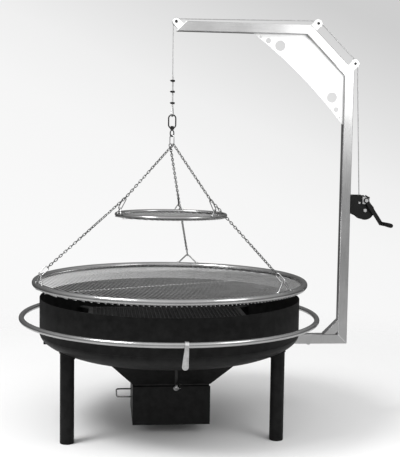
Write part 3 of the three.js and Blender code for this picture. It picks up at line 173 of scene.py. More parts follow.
# Points spaced evenly along a line, about a step apart
def evenly(line, step):
    line = np.asarray(line, float)
    run = np.concatenate([[0], np.cumsum(np.linalg.norm(np.diff(line, axis=0), axis=1))])
    at = np.linspace(0, run[-1], max(2, int(run[-1] / step) + 1))
    return np.stack([np.interp(at, run, line[:, k]) for k in range(3)], 1)


# Arc in a plane: centre + radius (cos a * u + sin a * v) between two angles in degrees
def arc(centre, radius, start, end, steps, u=(1, 0, 0), v=(0, 0, 1)):
    angle = np.radians(np.linspace(start, end, steps + 1))[:, None]
    ring = np.cos(angle) * np.asarray(u, float) + np.sin(angle) * np.asarray(v, float)
    return np.asarray(centre) + radius * ring


# Level circle for a closed tube: its last point is one step short of its first
def levelRing(centre, radius, height, steps):
    return arc(centre + up * height, radius, 0, 360 - 360 / steps, steps - 1, v=(0, 1, 0))


# A place turned about the vertical: x = reach cos a - along sin a, y = reach sin a + along cos a
def planPoint(plan, reach, along, z):
    c, s = cos(radians(plan)), sin(radians(plan))
    return np.array([reach * c - along * s, reach * s + along * c, z])


# The direction of a vector: v / |v|
def unit(vector):
    return vector / np.linalg.norm(vector)


# Outward and sideways directions at an angle in plan
def planAxes(plan):
    return planPoint(plan, 1, 0, 0), planPoint(plan, 0, 1, 0)


# Noise of all finishes: low and high are the part of its range that is used
noise = {"cloudDetail": 6, "cloudRough": 0.62, "grainDetail": 4, "low": 0.3, "high": 0.7, "bumpDepth": 0.0004,
         "coatRough": 0.2}


# Grey as seen on a screen, made linear: ((grey + 0.055) / 1.055) ^ 2.4, or grey / 12.92 when it is very dark
def tone(grey):
    linear = grey / 12.92 if grey <= 0.04045 else ((grey + 0.055) / 1.055) ** 2.4
    return [linear] * 3 + [1.0]


# Sets both ranges of a Map Range node: from low to high, to low to high
def ranged(node, *values):
    for socket, value in zip(("From Min", "From Max", "To Min", "To Max"), values):
        node.inputs[socket].default_value = value


# Colour between two tones by clouds, roughness between two values by stretched grain, bump from the grain
def finish(name, look):
    material = bpy.data.materials.new(name)
    material.use_nodes = True
    nodes, links = material.node_tree.nodes, material.node_tree.links
    shader = nodes["Principled BSDF"]
    shader.inputs["Metallic"].default_value = look["metal"]
    shader.inputs["Specular IOR Level"].default_value = look.get("specular", 0.5)
    shader.inputs["Coat Weight"].default_value = look.get("coat", 0.0)
    shader.inputs["Coat Roughness"].default_value = noise["coatRough"]
    coordinates = nodes.new("ShaderNodeTexCoord")
    clouds = nodes.new("ShaderNodeTexNoise")
    clouds.inputs["Scale"].default_value = look["cloud"]
    clouds.inputs["Detail"].default_value = noise["cloudDetail"]
    clouds.inputs["Roughness"].default_value = noise["cloudRough"]
    stretch = nodes.new("ShaderNodeMapping")
    stretch.inputs["Scale"].default_value = look["grain"]
    grain = nodes.new("ShaderNodeTexNoise")
    grain.inputs["Scale"].default_value = 1.0
    grain.inputs["Detail"].default_value = noise["grainDetail"]
    links.new(coordinates.outputs["Object"], clouds.inputs["Vector"])
    links.new(coordinates.outputs["Object"], stretch.inputs["Vector"])
    links.new(stretch.outputs["Vector"], grain.inputs["Vector"])
    colours = nodes.new("ShaderNodeValToRGB")
    for element, end, shade in zip(colours.color_ramp.elements, ("low", "high"), ("dark", "light")):
        element.position, element.color = noise[end], tone(look[shade])
    links.new(clouds.outputs["Fac"], colours.inputs["Fac"])
    specks = nodes.new("ShaderNodeMix")
    specks.data_type, specks.blend_type = "RGBA", "MULTIPLY"
    specks.inputs["Factor"].default_value = look.get("streak", 0.25)
    links.new(colours.outputs["Color"], specks.inputs["A"])
    links.new(grain.outputs["Fac"], specks.inputs["B"])
    links.new(specks.outputs["Result"], shader.inputs["Base Color"])
    rough = nodes.new("ShaderNodeMapRange")
    ranged(rough, noise["low"], noise["high"], *look["rough"])
    links.new(grain.outputs["Fac"], rough.inputs["Value"])
    links.new(rough.outputs["Result"], shader.inputs["Roughness"])
    bump = nodes.new("ShaderNodeBump")
    bump.inputs["Strength"].default_value = look["bump"]
    bump.inputs["Distance"].default_value = noise["bumpDepth"]
    links.new(grain.outputs["Fac"], bump.inputs["Height"])
    links.new(bump.outputs["Normal"], shader.inputs["Normal"])
    return material


blackLook = {"dark": 0.02, "light": 0.10, "metal": 0.0, "rough": (0.45, 0.62), "cloud": 26,
             "grain": (260, 260, 260), "bump": 0.25, "streak": 0.3, "specular": 0.12}
bowlBlack = finish("bowlBlack", blackLook)
winchBlack = finish("winchBlack", {**blackLook, "dark": 0.05, "light": 0.09, "rough": (0.22, 0.34),
                                   "coat": 0.3})
grateIron = finish("grateIron", {**blackLook, "dark": 0.14, "light": 0.22, "rough": (0.45, 0.7)})
forgedDark = finish("forgedDark", {**blackLook, "dark": 0.14, "light": 0.24, "metal": 0.7,
                                   "rough": (0.3, 0.5)})
mattGrip = finish("mattGrip", {**blackLook, "dark": 0.07, "light": 0.10, "rough": (0.55, 0.7),
                               "bump": 0.4})
sheetLook = {"dark": 0.86, "light": 0.92, "metal": 1.0, "rough": (0.26, 0.38), "cloud": 5,
             "grain": (6, 700, 700), "bump": 0.08, "streak": 0.06}
boomSteel = finish("boomSteel", {**sheetLook, "dark": 0.72, "light": 0.82, "metal": 0.85})
# Painted shade: a darker copy of the arm's steel for the diagonal, the post, the foot tube and its gusset,
# standing in for the dimmer light low on the arm
shadedArmSteel = finish("shadedArmSteel", {**sheetLook, "dark": 0.64, "light": 0.72, "grain": (700, 700, 6)})
# Painted sheen: a near white, lit copy of the arm's steel for the boom cap, the top gusset, the brackets and
# the mitre welds
litPlateSteel = finish("litPlateSteel", {**sheetLook, "dark": 0.98, "light": 1.0, "metal": 0.2,
                                   "rough": (0.4, 0.5), "grain": (500, 500, 30), "streak": 0.02})
ringSteel = finish("ringSteel", {**sheetLook, "dark": 0.6, "light": 0.68, "rough": (0.17, 0.22),
                                 "cloud": 4, "grain": (160, 160, 160), "bump": 0.01})
barSteel = finish("barSteel", {**sheetLook, "dark": 0.84, "light": 0.98, "rough": (0.24, 0.32),
                               "cloud": 14})
wireSteel = finish("wireSteel", {**sheetLook, "dark": 0.28, "light": 0.46, "rough": (0.3, 0.45),
                                 "cloud": 60, "grain": (900, 900, 900)})
ropeSteel = finish("ropeSteel", {**sheetLook, "dark": 0.66, "light": 0.84, "rough": (0.35, 0.5),
                                 "cloud": 80, "grain": (900, 900, 900)})
zincPlate = finish("zincPlate", {**sheetLook, "dark": 0.70, "light": 0.86, "rough": (0.28, 0.42),
                                 "cloud": 40, "grain": (500, 500, 500)})
print("finishes made")


# Fire bowl: upright wall with tabs for the fire grate, on a dish with a flat floor and an ash throat
# The dish's edge is a curve from the wall's foot to the floor, drawn towards the height of pull
bowl = {"radius": 0.677, "rim": 0.688, "wallFoot": 0.505, "pull": 0.461, "floor": 0.420, "floorRadius": 0.560,
        "sheet": 0.003, "rimRound": 0.0008, "throat": 0.130, "throatDepth": 0.048, "throatRound": 0.004,
        "bead": 0.0014, "beadOut": 0.0002, "beadSteps": 360, "steps": 180}
tabs = {"plans": (45, 135, 225, 315), "top": 0.5483, "reach": 0.014, "drop": 0.022, "half": 0.017,
        "sheet": 0.003, "into": 0.001}
t = np.linspace(0, 1, 20)[:, None]
wallFoot, pull, floorEdge = ([bowl["radius"], bowl["wallFoot"]], [bowl["radius"], bowl["pull"]],
                             [bowl["floorRadius"], bowl["floor"]])
bowlCurve = (1 - t) ** 2 * wallFoot + 2 * t * (1 - t) * pull + t**2 * floorEdge
wallOut, wallIn, wallSeam = bowl["radius"], bowl["radius"] - bowl["sheet"], bowl["wallFoot"] + fit
rim, rimRound = bowl["rim"], bowl["rimRound"]
wallLine = [(wallIn, wallSeam), (wallOut, wallSeam), (wallOut, rim - rimRound), (wallOut - rimRound, rim),
            (wallIn + rimRound, rim), (wallIn, rim - rimRound)]
wallParts = [turned(wallLine, bowlAxis, steps=bowl["steps"])]
tabTop, tabFoot, tabUnder = tabs["top"], tabs["top"] - tabs["drop"], tabs["top"] - tabs["sheet"]
tabTip, tabBack, tabOut = wallIn - tabs["reach"], wallIn - tabs["sheet"], wallIn + tabs["into"]
tabLine = [(tabTip, tabTop), (tabOut, tabTop), (tabOut, tabFoot), (tabBack, tabFoot), (tabBack, tabUnder),
           (tabTip, tabUnder)]
for plan in tabs["plans"]:
    out, aside = planAxes(plan)
    sides = [bowlAxis + aside * w for w in (-tabs["half"], tabs["half"])]
    rows = [[side + out * r + up * z for r, z in tabLine] for side in sides]
    wallParts.append(gridPart(np.array(rows), ends="first last"))
seamLine = levelRing(bowlAxis, wallOut + bowl["beadOut"], bowl["wallFoot"], bowl["beadSteps"])
wallParts.append(tubeAlong(seamLine, bowl["bead"], 8, True, up))
newPiece("bowlWall", wallParts, "base", bowlBlack, ["bowl_wall"])
throatOut, throatRound = bowl["throat"] + bowl["sheet"], bowl["throatRound"]
dishOuter = np.vstack([bowlCurve, [throatOut + throatRound, bowl["floor"]],
                       [throatOut, bowl["floor"] - throatRound],
                       [throatOut, bowl["floor"] - bowl["throatDepth"]]])
slope = np.gradient(dishOuter, axis=0)
inward = np.stack([slope[:, 1], -slope[:, 0]], 1) / np.linalg.norm(slope, axis=1)[:, None]
dishInner = dishOuter + inward * bowl["sheet"]
dishInner[0], dishInner[-1] = [wallIn, bowl["wallFoot"]], [bowl["throat"], dishOuter[-1, 1]]
dish = turned(np.vstack([dishOuter, dishInner[::-1]]), bowlAxis, steps=bowl["steps"])
newPiece("bowlDish", [dish], "base", bowlBlack, ["bowl_floor"])

# Legs: tubes whose tops follow the bowl's underside, with a rippled bead of weld there
legs = {"radius": 0.035, "inner": 0.031, "circle": 0.605, "plans": (210, 330, 90), "footRound": 0.0015,
        "footSheet": 0.004, "middle": 0.2, "steps": 64, "bead": 0.0036, "beadOut": 0.001, "beadDrop": 0.003,
        "ripple": 0.0006, "ripples": 40}
underRadius = np.append(bowlCurve[::-1, 0], 1.0)
underHeight = np.append(bowlCurve[::-1, 1], bowl["wallFoot"])


# Height of the bowl's underside over points, by their distance from its axis
def underBowl(points):
    return np.interp(np.linalg.norm((points - bowlAxis)[:, :2], axis=1), underRadius, underHeight)


around = np.arange(legs["steps"]) * 2 * pi / legs["steps"]
circle = np.stack([np.cos(around), np.sin(around), 0 * around], 1)
legLine = [(legs["radius"] - legs["footRound"], 0), (legs["radius"], legs["footRound"]),
           (legs["radius"], legs["middle"]), (legs["radius"], rim), (legs["inner"], rim),
           (legs["inner"], legs["footSheet"])]
for number, plan in enumerate(legs["plans"], 1):
    centre = bowlAxis + planPoint(plan, legs["circle"], 0, 0)
    rings = []
    for radius, height in legLine:
        ring = centre + radius * circle
        ring[:, 2] = np.minimum(height, underBowl(ring) - fit)
        rings.append(ring)
    bead = centre + (legs["radius"] + legs["beadOut"]) * circle
    bead[:, 2] = underBowl(bead) - legs["beadDrop"] + legs["ripple"] * np.sin(around * legs["ripples"])
    parts = [gridPart(np.array(rings), ends="first last"), tubeAlong(bead, legs["bead"], 8, True, up)]
    newPiece(f"legTube{number}", parts, "base", bowlBlack, [f"leg_{number}"])

# Hand rail: round tube ring on stubs that are welded to the bowl wall
# Ends of a stub: its radius at distances from the wall, and from a place inside the rail's tube
rail = {"radius": 0.769, "tube": 0.0135, "height": 0.583, "steps": 240, "stubs": (30, 90, 150),
        "stubInto": 0.6, "wallEnd": [(0.012, 0), (0.011, 0.004), (0.008, 0.007)],
        "tubeEnd": [(0.008, -0.006), (0.0105, 0), (0.0105, 0.002)]}
railLine = levelRing(bowlAxis, rail["radius"], rail["height"], rail["steps"])
railParts = [tubeAlong(railLine, rail["tube"], 24, True, up)]
stubStart, stubEnd = wallOut + fit, rail["radius"] - rail["tube"] * rail["stubInto"]
stub = [(r, stubStart + s) for r, s in rail["wallEnd"]] + [(r, stubEnd + s) for r, s in rail["tubeEnd"]]
for plan in rail["stubs"]:
    railParts.append(turned(stub, bowlAxis + up * rail["height"], planPoint(plan, 1, 0, 0), 24, False))
newPiece("railRing", railParts, "base", ringSteel, ["hand_rail"])

# Fire grate: flat frame with lugs that lie on the tabs, and a net of rods both ways
net = {"half": 0.430, "frame": 0.024, "top": 0.555, "sheet": 0.006, "lugTop": 0.5546, "lugHalf": 0.017,
       "lugReach": (0.583, 0.669), "pitch": 0.0215, "rods": 18, "rod": 0.0022, "rodHeight": 0.558,
       "rodPast": 0.010, "cross": 0.00176, "crossHeight": 0.5525, "crossPast": 0.002}
inner = net["half"] - net["frame"]
frameFoot, lugFoot = net["top"] - net["sheet"], net["lugTop"] - net["sheet"]
frameLine = [(net["half"], frameFoot), (net["half"], net["top"]), (inner, net["top"]), (inner, frameFoot)]
corners = [[[x * r, y * r, z] for r, z in frameLine] for x, y in ((1, 1), (-1, 1), (-1, -1), (1, -1))]
netParts = [gridPart(np.array(corners) + bowlAxis, closedRows=True)]
lugLine = [(lugFoot, -net["lugHalf"]), (lugFoot, net["lugHalf"]), (net["lugTop"], net["lugHalf"]),
           (net["lugTop"], -net["lugHalf"])]
for plan in tabs["plans"]:
    out, aside = planAxes(plan)
    rows = [[bowlAxis + out * r + aside * w + up * z for z, w in lugLine] for r in net["lugReach"]]
    netParts.append(gridPart(np.array(rows), ends="first last"))
ends = np.array([[-1], [0], [1]])
rodEnds, crossEnds = ends * [0, inner + net["rodPast"], 0], ends * [inner + net["crossPast"], 0, 0]
for k in np.arange(-net["rods"], net["rods"] + 1) * net["pitch"]:
    netParts.append(tubeAlong(bowlAxis + [k, 0, net["rodHeight"]] + rodEnds, net["rod"], 8, False, (1, 0, 0)))
    netParts.append(tubeAlong(bowlAxis + [0, k, net["crossHeight"]] + crossEnds, net["cross"], 8))
newPiece("fireNet", netParts, "base", grateIron, ["fire_grate"])
print("bowl, legs, rail and fire grate made")

# Sheet and plate pieces keep their CAD outline; the last number is the width of their rounded edges
for node, name, body, slotName, material, width in [
    ("hopper", "hopperFunnel", "base", "black_paint", bowlBlack, 0.0012),
    ("ash_box", "ashBox", "box", "black_paint", bowlBlack, 0.0010),
    ("box_slide_back", "boxSlideBack", "base", "dark_steel", forgedDark, 0.0004),
    ("box_slide_front", "boxSlideFront", "base", "dark_steel", forgedDark, 0.0004),
    ("ash_flap", "throatFlap", "flap", "dark_steel", forgedDark, 0.0006),
    ("flap_lever", "flapLever", "flap", "stainless", forgedDark, 0.0007),
    ("rack_tool", "rakeHook", "tool", "stainless", zincPlate, 0.0007),
    ("arm_socket", "armSocket", "base", "black_paint", bowlBlack, 0.0012),
    ("side_socket", "sideSocket", "base", "black_paint", bowlBlack, 0.0012),
    ("boom_end_cap", "boomCap", "base", "stainless", litPlateSteel, 0.0009),
    ("gusset_plate", "gussetPlate", "base", "stainless", litPlateSteel, 0.0006),
    ("foot_gusset", "footGusset", "base", "stainless", shadedArmSteel, 0.0008),
    ("lock_screw", "lockScrew", "base", "zinc_steel", zincPlate, 0.0006),
    ("tip_bracket", "tipBracket", "base", "stainless", litPlateSteel, 0.0005),
    ("upper_bracket", "upperBracket", "base", "stainless", litPlateSteel, 0.0005),
    ("lower_bracket", "lowerBracket", "base", "stainless", litPlateSteel, 0.0005),
    ("winch_frame", "winchFrame", "base", "black_paint", winchBlack, 0.0006),
    ("winch_bolt", "winchBolt", "base", "zinc_steel", zincPlate, 0.0005),
    ("winch_drum", "winchDrum", "drum", "dark_steel", forgedDark, 0.0003),
    ("drum_shaft", "drumShaft", "base", "zinc_steel", zincPlate, 0.0005),
    ("crank_shaft", "crankShaft", "crank", "zinc_steel", zincPlate, 0.0004),
    ("crank_arm", "crankArm", "crank", "black_paint", winchBlack, 0.0007),
    ("crank_latch", "crankLatch", "latch", "dark_steel", forgedDark, 0.0004),
    ("thimble", "ropeThimble", "lift", "zinc_steel", zincPlate, 0.0002),
    ("rope_clip_1", "ropeClip1", "lift", "dark_steel", forgedDark, 0.0006),
    ("rope_clip_2", "ropeClip2", "lift", "dark_steel", forgedDark, 0.0006),
    ("rope_clip_3", "ropeClip3", "lift", "dark_steel", forgedDark, 0.0006),
]:
    rounded(node, name, body, material, width)
print("sheet and plate pieces rounded")


# Gives the faces of a piece that pass a test another finish
def patched(name, material, passes):
    mesh = bpy.data.objects[name].data
    mesh.materials.append(material)
    for face in mesh.polygons:
        if passes(face.center):
            face.material_index = 1


# Patches: the lever's grip, from its lowest point up, and the pin heads, outside the brackets' cheeks
patches = {"grip": 0.034, "cheek": 0.0115, "head": 0.0085}
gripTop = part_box("flap_lever")[0][2] + patches["grip"]
patched("flapLever", zincPlate, lambda place: place[2] < gripTop)
for place in ("tip", "upper", "lower"):
    name, node = f"{place}Bracket", f"{place}_sheave"
    low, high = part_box(node)
    middle = (Vector(low) + Vector(high)) / 2
    patched(name, forgedDark, lambda place: abs(place[1] - middle[1]) > patches["cheek"]
            and (place - middle).xz.length < patches["head"])

# Arm: square tubes with rounded long edges, and a ground bead of weld at each mitre
# Mitres: outer corner, direction of the seam inwards and half of the bend
arm = {"side": 0.050, "post": 0.925, "top": 2.109, "drop": 0.235, "foot": 0.455, "round": 0.0032,
       "long": 0.15, "endShare": 0.12, "bead": 0.0006, "beadOut": 0.0001, "beadCorner": 0.003}
for node, name, material in [("boom", "boomTube", boomSteel), ("arm_diagonal", "diagonalTube", shadedArmSteel),
                             ("arm_post", "postTube", shadedArmSteel), ("foot_tube", "footTube", shadedArmSteel)]:
    tube = rounded(node, name, "base", material, arm["round"], 4)
    shell = bmesh.new()
    shell.from_mesh(tube.data)
    weight = shell.edges.layers.float.new("bevel_weight_edge")
    for edge in shell.edges:
        if edge.is_manifold and edge.calc_face_angle(0) >= radians(cleaning["sharp"]):
            edge[weight] = 1.0 if edge.calc_length() > arm["long"] else arm["endShare"]
    shell.to_mesh(tube.data)
    shell.free()
    tube.modifiers["edges"].limit_method = "WEIGHT"
half, outX = arm["side"] / 2, arm["post"] + arm["side"] / 2
mitres = [((outX - arm["drop"], 0, arm["top"]), 247.5, 22.5),
          ((outX, 0, arm["top"] - arm["drop"]), 202.5, 22.5),
          ((outX, 0, arm["foot"] - half), 135, 45)]
for number, (corner, turn, halfBend) in enumerate(mitres, 1):
    seam = np.array([cos(radians(turn)), 0, sin(radians(turn))])
    aside = np.array([0, half + arm["beadOut"], 0])
    outerEnd = bowlAxis + corner
    innerEnd = outerEnd + seam * arm["side"] / cos(radians(halfBend))
    middle = (outerEnd + innerEnd) / 2 - aside
    loop = [middle, outerEnd - aside, outerEnd + aside, innerEnd + aside, innerEnd - aside, middle]
    line = softened(loop, arm["beadCorner"], 5)[:-1]
    bead = tubeAlong(line, arm["bead"], 8, True, (seam[2], 0, -seam[0]))
    newPiece(f"mitreWeld{number}", [bead], "base", litPlateSteel)
for place in ("tip", "upper", "lower"):
    rounded(f"{place}_sheave", f"{place}Sheave", f"{place}_wheel", zincPlate, 0.0004)
print("arm made")

# Wire rope: strands laid round it, from the drum over three sheaves to the fall, and a loop round a thimble
# It comes on to the drum over the first layer, between the two turns of lead
rope = {"radius": 0.0025, "lay": 0.024, "strands": 6, "depth": 0.26, "step": 0.002, "sheave": 0.014,
        "tip": (0.014, 2.1079), "upper": (0.7567, 2.1182), "lower": (0.9592, 1.9157), "drum": (1.027, 1.146),
        "tipLine": 90.79, "diagonal": 45, "runAngle": -87.86, "wound": 0.0188, "over": 0.025, "pitch": 0.0059,
        "windStart": -0.01275, "turns": 5, "lead": (360, 420), "loopTop": 1.835, "loopTurn": 60}


# Corners of a line cut off three times, at a quarter of each side: a smooth curve between the same two ends
def smoothed(line):
    line = np.asarray(line, float)
    for _ in range(3):
        near, far = 0.75 * line[:-1] + 0.25 * line[1:], 0.25 * line[:-1] + 0.75 * line[1:]
        line = np.vstack([line[:1], np.stack([near, far], 1).reshape(-1, 3), line[-1:]])
    return line


# Rope piece along a line
def roped(name, line, body, node, reference=(0, 1, 0)):
    lie = rope["strands"], rope["lay"], rope["depth"]
    part = tubeAlong(evenly(line, rope["step"]), rope["radius"], 24, False, reference, *lie)
    return newPiece(name, [part], body, ropeSteel, [node], sharp=180)


# Place on the drum after a turn in degrees: y = windStart + pitch * turn / 360
def onDrum(radius, turn):
    angle = radians(rope["runAngle"] - 90 + turn)
    x, z = rope["drum"]
    return [x + radius * cos(angle), rope["windStart"] + rope["pitch"] * turn / 360, z + radius * sin(angle)]


# Part of the rope that lies in a sheave's groove, between two angles
def inGroove(sheave, start, end):
    x, z = rope[sheave]
    return arc((x, 0, z), rope["sheave"], start, end, 16)


leadStart, leadEnd = rope["lead"]
runLine = np.vstack([inGroove("tip", 180, rope["tipLine"]),
                     inGroove("upper", rope["tipLine"], rope["diagonal"]),
                     inGroove("lower", rope["diagonal"], rope["runAngle"] + 90),
                     [onDrum(rope["over"], turn) for turn in range(leadStart, leadEnd + 1, 5)]])
roped("ropeRun", runLine + bowlAxis, "base", "rope_run")
woundLine = [onDrum(rope["wound"], turn) for turn in range(0, rope["turns"] * 360 + 1, 6)]
roped("ropeWound", np.array(woundLine) + bowlAxis, "drum", "rope_wound")
fallTop, fallFoot = bowlAxis + up * rope["tip"][1], bowlAxis + up * rope["loopTop"]
fall = roped("ropeFall", [fallTop - up * fit, fallFoot + up * fit], None, "rope_fall")
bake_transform(fall)
# Loop in mm, as reach and height: down one strand, round the thimble and up the other
loopLine = [[0, 1835], [0, 1758.15], [0, 1681.3], [-4.04, 1661.98], [-8.75, 1645.88], [-13.46, 1635.3],
            [-11.66, 1628.57], [-6.73, 1623.64], [0, 1621.84], [6.73, 1623.64], [11.66, 1628.57],
            [13.46, 1635.3], [10.93, 1650.94], [6.73, 1667.5], [5.9, 1681.3], [5.9, 1758.15], [5.9, 1830]]
loopOut, loopAside = planAxes(rope["loopTurn"])
loopLine = np.array([loopOut * reach + up * z for reach, z in loopLine]) * mm
roped("ropeLoop", smoothed(loopLine) + bowlAxis, "lift", "rope_loop", loopAside)
print("ropes laid")


# Centre line of a link: half circles of a radius, with their centres a distance either side of the middle
def stadium(radius, stretch, steps):
    top = arc((0, 0, stretch), radius, 0, 180, steps)
    return np.vstack([top, arc((0, 0, -stretch), radius, 180, 360, steps)])


# Link of bent round wire in mm, with its long axis along one direction and its width along another
def placedLink(wire, innerHalf, innerLength, centre, along, across, steps, sides):
    side = unit(across - along * np.dot(across, along))
    line = stadium(innerHalf + wire, innerLength / 2 - innerHalf, steps)
    basis = np.stack([side, np.cross(along, side), along])
    return tubeAlong((centre + line @ basis) * mm + bowlAxis, wire * mm, sides, True, basis[1])


# Swivel in mm: a bow with a collar, an eye whose stem turns in the collar, and the master ring
# Collar and stem are (radius, height) profiles
swivel = {"bowWire": 3.5, "bowInner": 15, "bowLength": 62.5, "bowTop": 1635,
          "collar": [(5.4, 1556.5), (6, 1555.5), (10, 1555.5), (11, 1556.7), (11, 1567.3), (10, 1568.5),
                     (6, 1568.5), (5.4, 1567.5)],
          "eyeWire": 3, "eyeInner": 11, "eyeLength": 26.2, "eyeTop": 1555.2, "eyeTurn": 45,
          "stem": [(3, 1550), (5, 1552), (5, 1568.8), (7.8, 1568.8), (8.5, 1569.8), (8.5, 1572.8),
                   (7.2, 1573.8), (2, 1573.8)],
          "masterWire": 3, "masterInner": 11, "masterLength": 49, "masterMiddle": 1498.8, "masterTurn": -45}


# Upright link of the swivel, turned in plan
def swivelLink(part, middle, plan, steps, sides):
    wire, inner, length = swivel[part + "Wire"], swivel[part + "Inner"], swivel[part + "Length"]
    return placedLink(wire, inner, length, up * middle, up, planPoint(plan, 1, 0, 0), steps, sides)


bowMiddle = swivel["bowTop"] - 2 * swivel["bowWire"] - swivel["bowLength"] / 2
bowParts = [swivelLink("bow", bowMiddle, 0, 16, 16),
            turned(np.array(swivel["collar"]) * mm, bowlAxis, steps=48)]
newPiece("swivelBow", bowParts, "lift", forgedDark, ["swivel_bow"])
eyeMiddle = swivel["eyeTop"] - 2 * swivel["eyeWire"] - swivel["eyeLength"] / 2
eyeParts = [swivelLink("eye", eyeMiddle, swivel["eyeTurn"], 16, 16),
            turned(np.array(swivel["stem"]) * mm, bowlAxis, steps=40, closedProfile=False)]
newPiece("swivelEye", eyeParts, "hang", forgedDark, ["swivel_eye"])
masterLink = swivelLink("master", swivel["masterMiddle"], swivel["masterTurn"], 24, 20)
newPiece("masterRing", [masterLink], "hang", zincPlate, ["master_ring"])

# Round grates in mm: tube ring with bent-wire brackets, and round bars on a cross bar, welded under the ring
# Bracket: its line as shares of its half width and of its rise, and its feet as shares of the ring's tube
# The round tube is a little thinner than the solid one; the bars lie under the solid one, which has six sides
grates = {"big": {"radius": 700, "tube": 16.85, "height": 764, "rise": 48, "half": 58, "wire": 4, "lean": 8,
                  "steps": 288},
          "small": {"radius": 284, "tube": 9.5, "height": 1115, "rise": 28, "half": 24, "wire": 3, "lean": 4,
                    "steps": 180}}
plans = [77.5, -42.5, 197.5]
bracket = {"shares": [[-1, 0], [-0.9, 0.14], [-0.12, 0.94], [0, 1], [0.12, 0.94], [0.9, 0.14], [1, 0]],
           "foot": 0.5, "beadFoot": 0.93, "tubeShare": 0.985}
bars = {"round": 2.4, "pitch": 21, "overhang": 6, "turn": 25, "chamfer": 1, "sink": 0.3}


# Round bar along a direction, through a middle, with chamfered ends
def barAlong(direction, middle, reach):
    r, c = bars["round"], bars["chamfer"]
    profile = np.array([[r - c, -reach], [r, c - reach], [r, reach - c], [r - c, reach]])
    return turned(profile * mm, middle * mm + bowlAxis, direction, 12, False)


for size, grate in grates.items():
    radius, tube, height, wire = grate["radius"], grate["tube"], grate["height"], grate["wire"]
    ring = levelRing(np.zeros(3), radius, height, grate["steps"])
    ringParts = [tubeAlong(ring * mm + bowlAxis, tube * bracket["tubeShare"] * mm, 28, True, up)]
    foot, top = height + tube * bracket["foot"], height + tube + grate["rise"]
    bead = np.array([[0.6, -3], [wire + 2.4, -1], [wire + 2, 1], [wire, 4], [0.6, 4.5]]) * mm
    for plan in plans:
        line = np.array([planPoint(plan, radius - grate["lean"] * rise, grate["half"] * along,
                                   foot + (top - foot) * rise) for along, rise in bracket["shares"]])
        vee = smoothed(line) * mm + bowlAxis
        ringParts.append(tubeAlong(vee, wire * mm, 14, False, planPoint(plan, 1, 0, 0)))
        for end in (0, -1):
            place = np.array([*line[end][:2], height + tube * bracket["beadFoot"]]) * mm + bowlAxis
            ringParts.append(turned(bead, place, steps=18, closedProfile=False))
    newPiece(f"{size}GrateRing", ringParts, "hang", ringSteel, [f"{size}_grate_ring"])
    level = height - tube * cos(pi / 6) - bars["sink"] - bars["round"]
    rows = int(radius / bars["pitch"])
    wide, long = planAxes(bars["turn"])
    barParts = []
    for offset in np.arange(-rows, rows + 1) * bars["pitch"]:
        reach = ((radius + bars["overhang"]) ** 2 - offset**2) ** 0.5
        barParts.append(barAlong(long, wide * offset + up * level, reach))
    barParts.append(barAlong(wide, up * (level - 2 * bars["round"] + bars["sink"]), radius))
    newPiece(f"{size}GrateBars", barParts, "hang", barSteel, [f"{size}_grate_bars"])
print("grates made")

# Chains in mm: end link on the master ring, links past the small grate's hanger to the big grate's connector
chain = {"pitch": 16, "wire": 1.95, "inner": 3.2, "weld": 0.4, "endInner": 4.8, "endPitch": 20,
         "kinkRadius": 250, "kinkHeight": 1205, "seats": [212, 328, 270], "gap": 0.6,
         "connectorWire": 2.6, "connectorInner": 8, "connectorLength": 52,
         "hangerWire": 2.2, "hangerInner": 6}


# Turned about a direction: v cos a + (d x v) sin a + d (d . v)(1 - cos a)
def spun(vector, about, angle):
    flat = vector * cos(angle) + np.cross(about, vector) * sin(angle)
    return flat + about * np.dot(about, vector) * (1 - cos(angle))


# Links between two places, each turned a quarter and a share of the remaining twist against the one before it
def linkRun(start, end, firstHalf, firstAcross, lastAcross):
    distance = np.linalg.norm(end - start)
    along = (end - start) / distance
    count = round((distance - firstHalf + chain["pitch"] / 2) / chain["pitch"])
    half = (distance - firstHalf - count * chain["weld"]) / (2 * count - 1)
    side = unit(firstAcross - along * np.dot(firstAcross, along))
    turnTo = np.cross(along, side)
    miss = np.arctan2(np.dot(lastAcross, turnTo), np.dot(lastAcross, side)) - count * pi / 2
    twist = (miss - pi * round(miss / pi)) / count
    links = []
    for i in range(1, count + 1):
        across = spun(side, along, i * (pi / 2 + twist))
        centre = start + along * (firstHalf + i * chain["weld"] + (2 * i - 1) * half)
        links.append(placedLink(chain["wire"], chain["inner"], 2 * half, centre, along, across, 7, 8))
    return links, half


# Top of a grate's bracket at an angle in plan
def apex(grate, plan):
    height = grate["height"] + grate["tube"] + grate["rise"]
    return planPoint(plan, grate["radius"] - grate["lean"], 0, height)


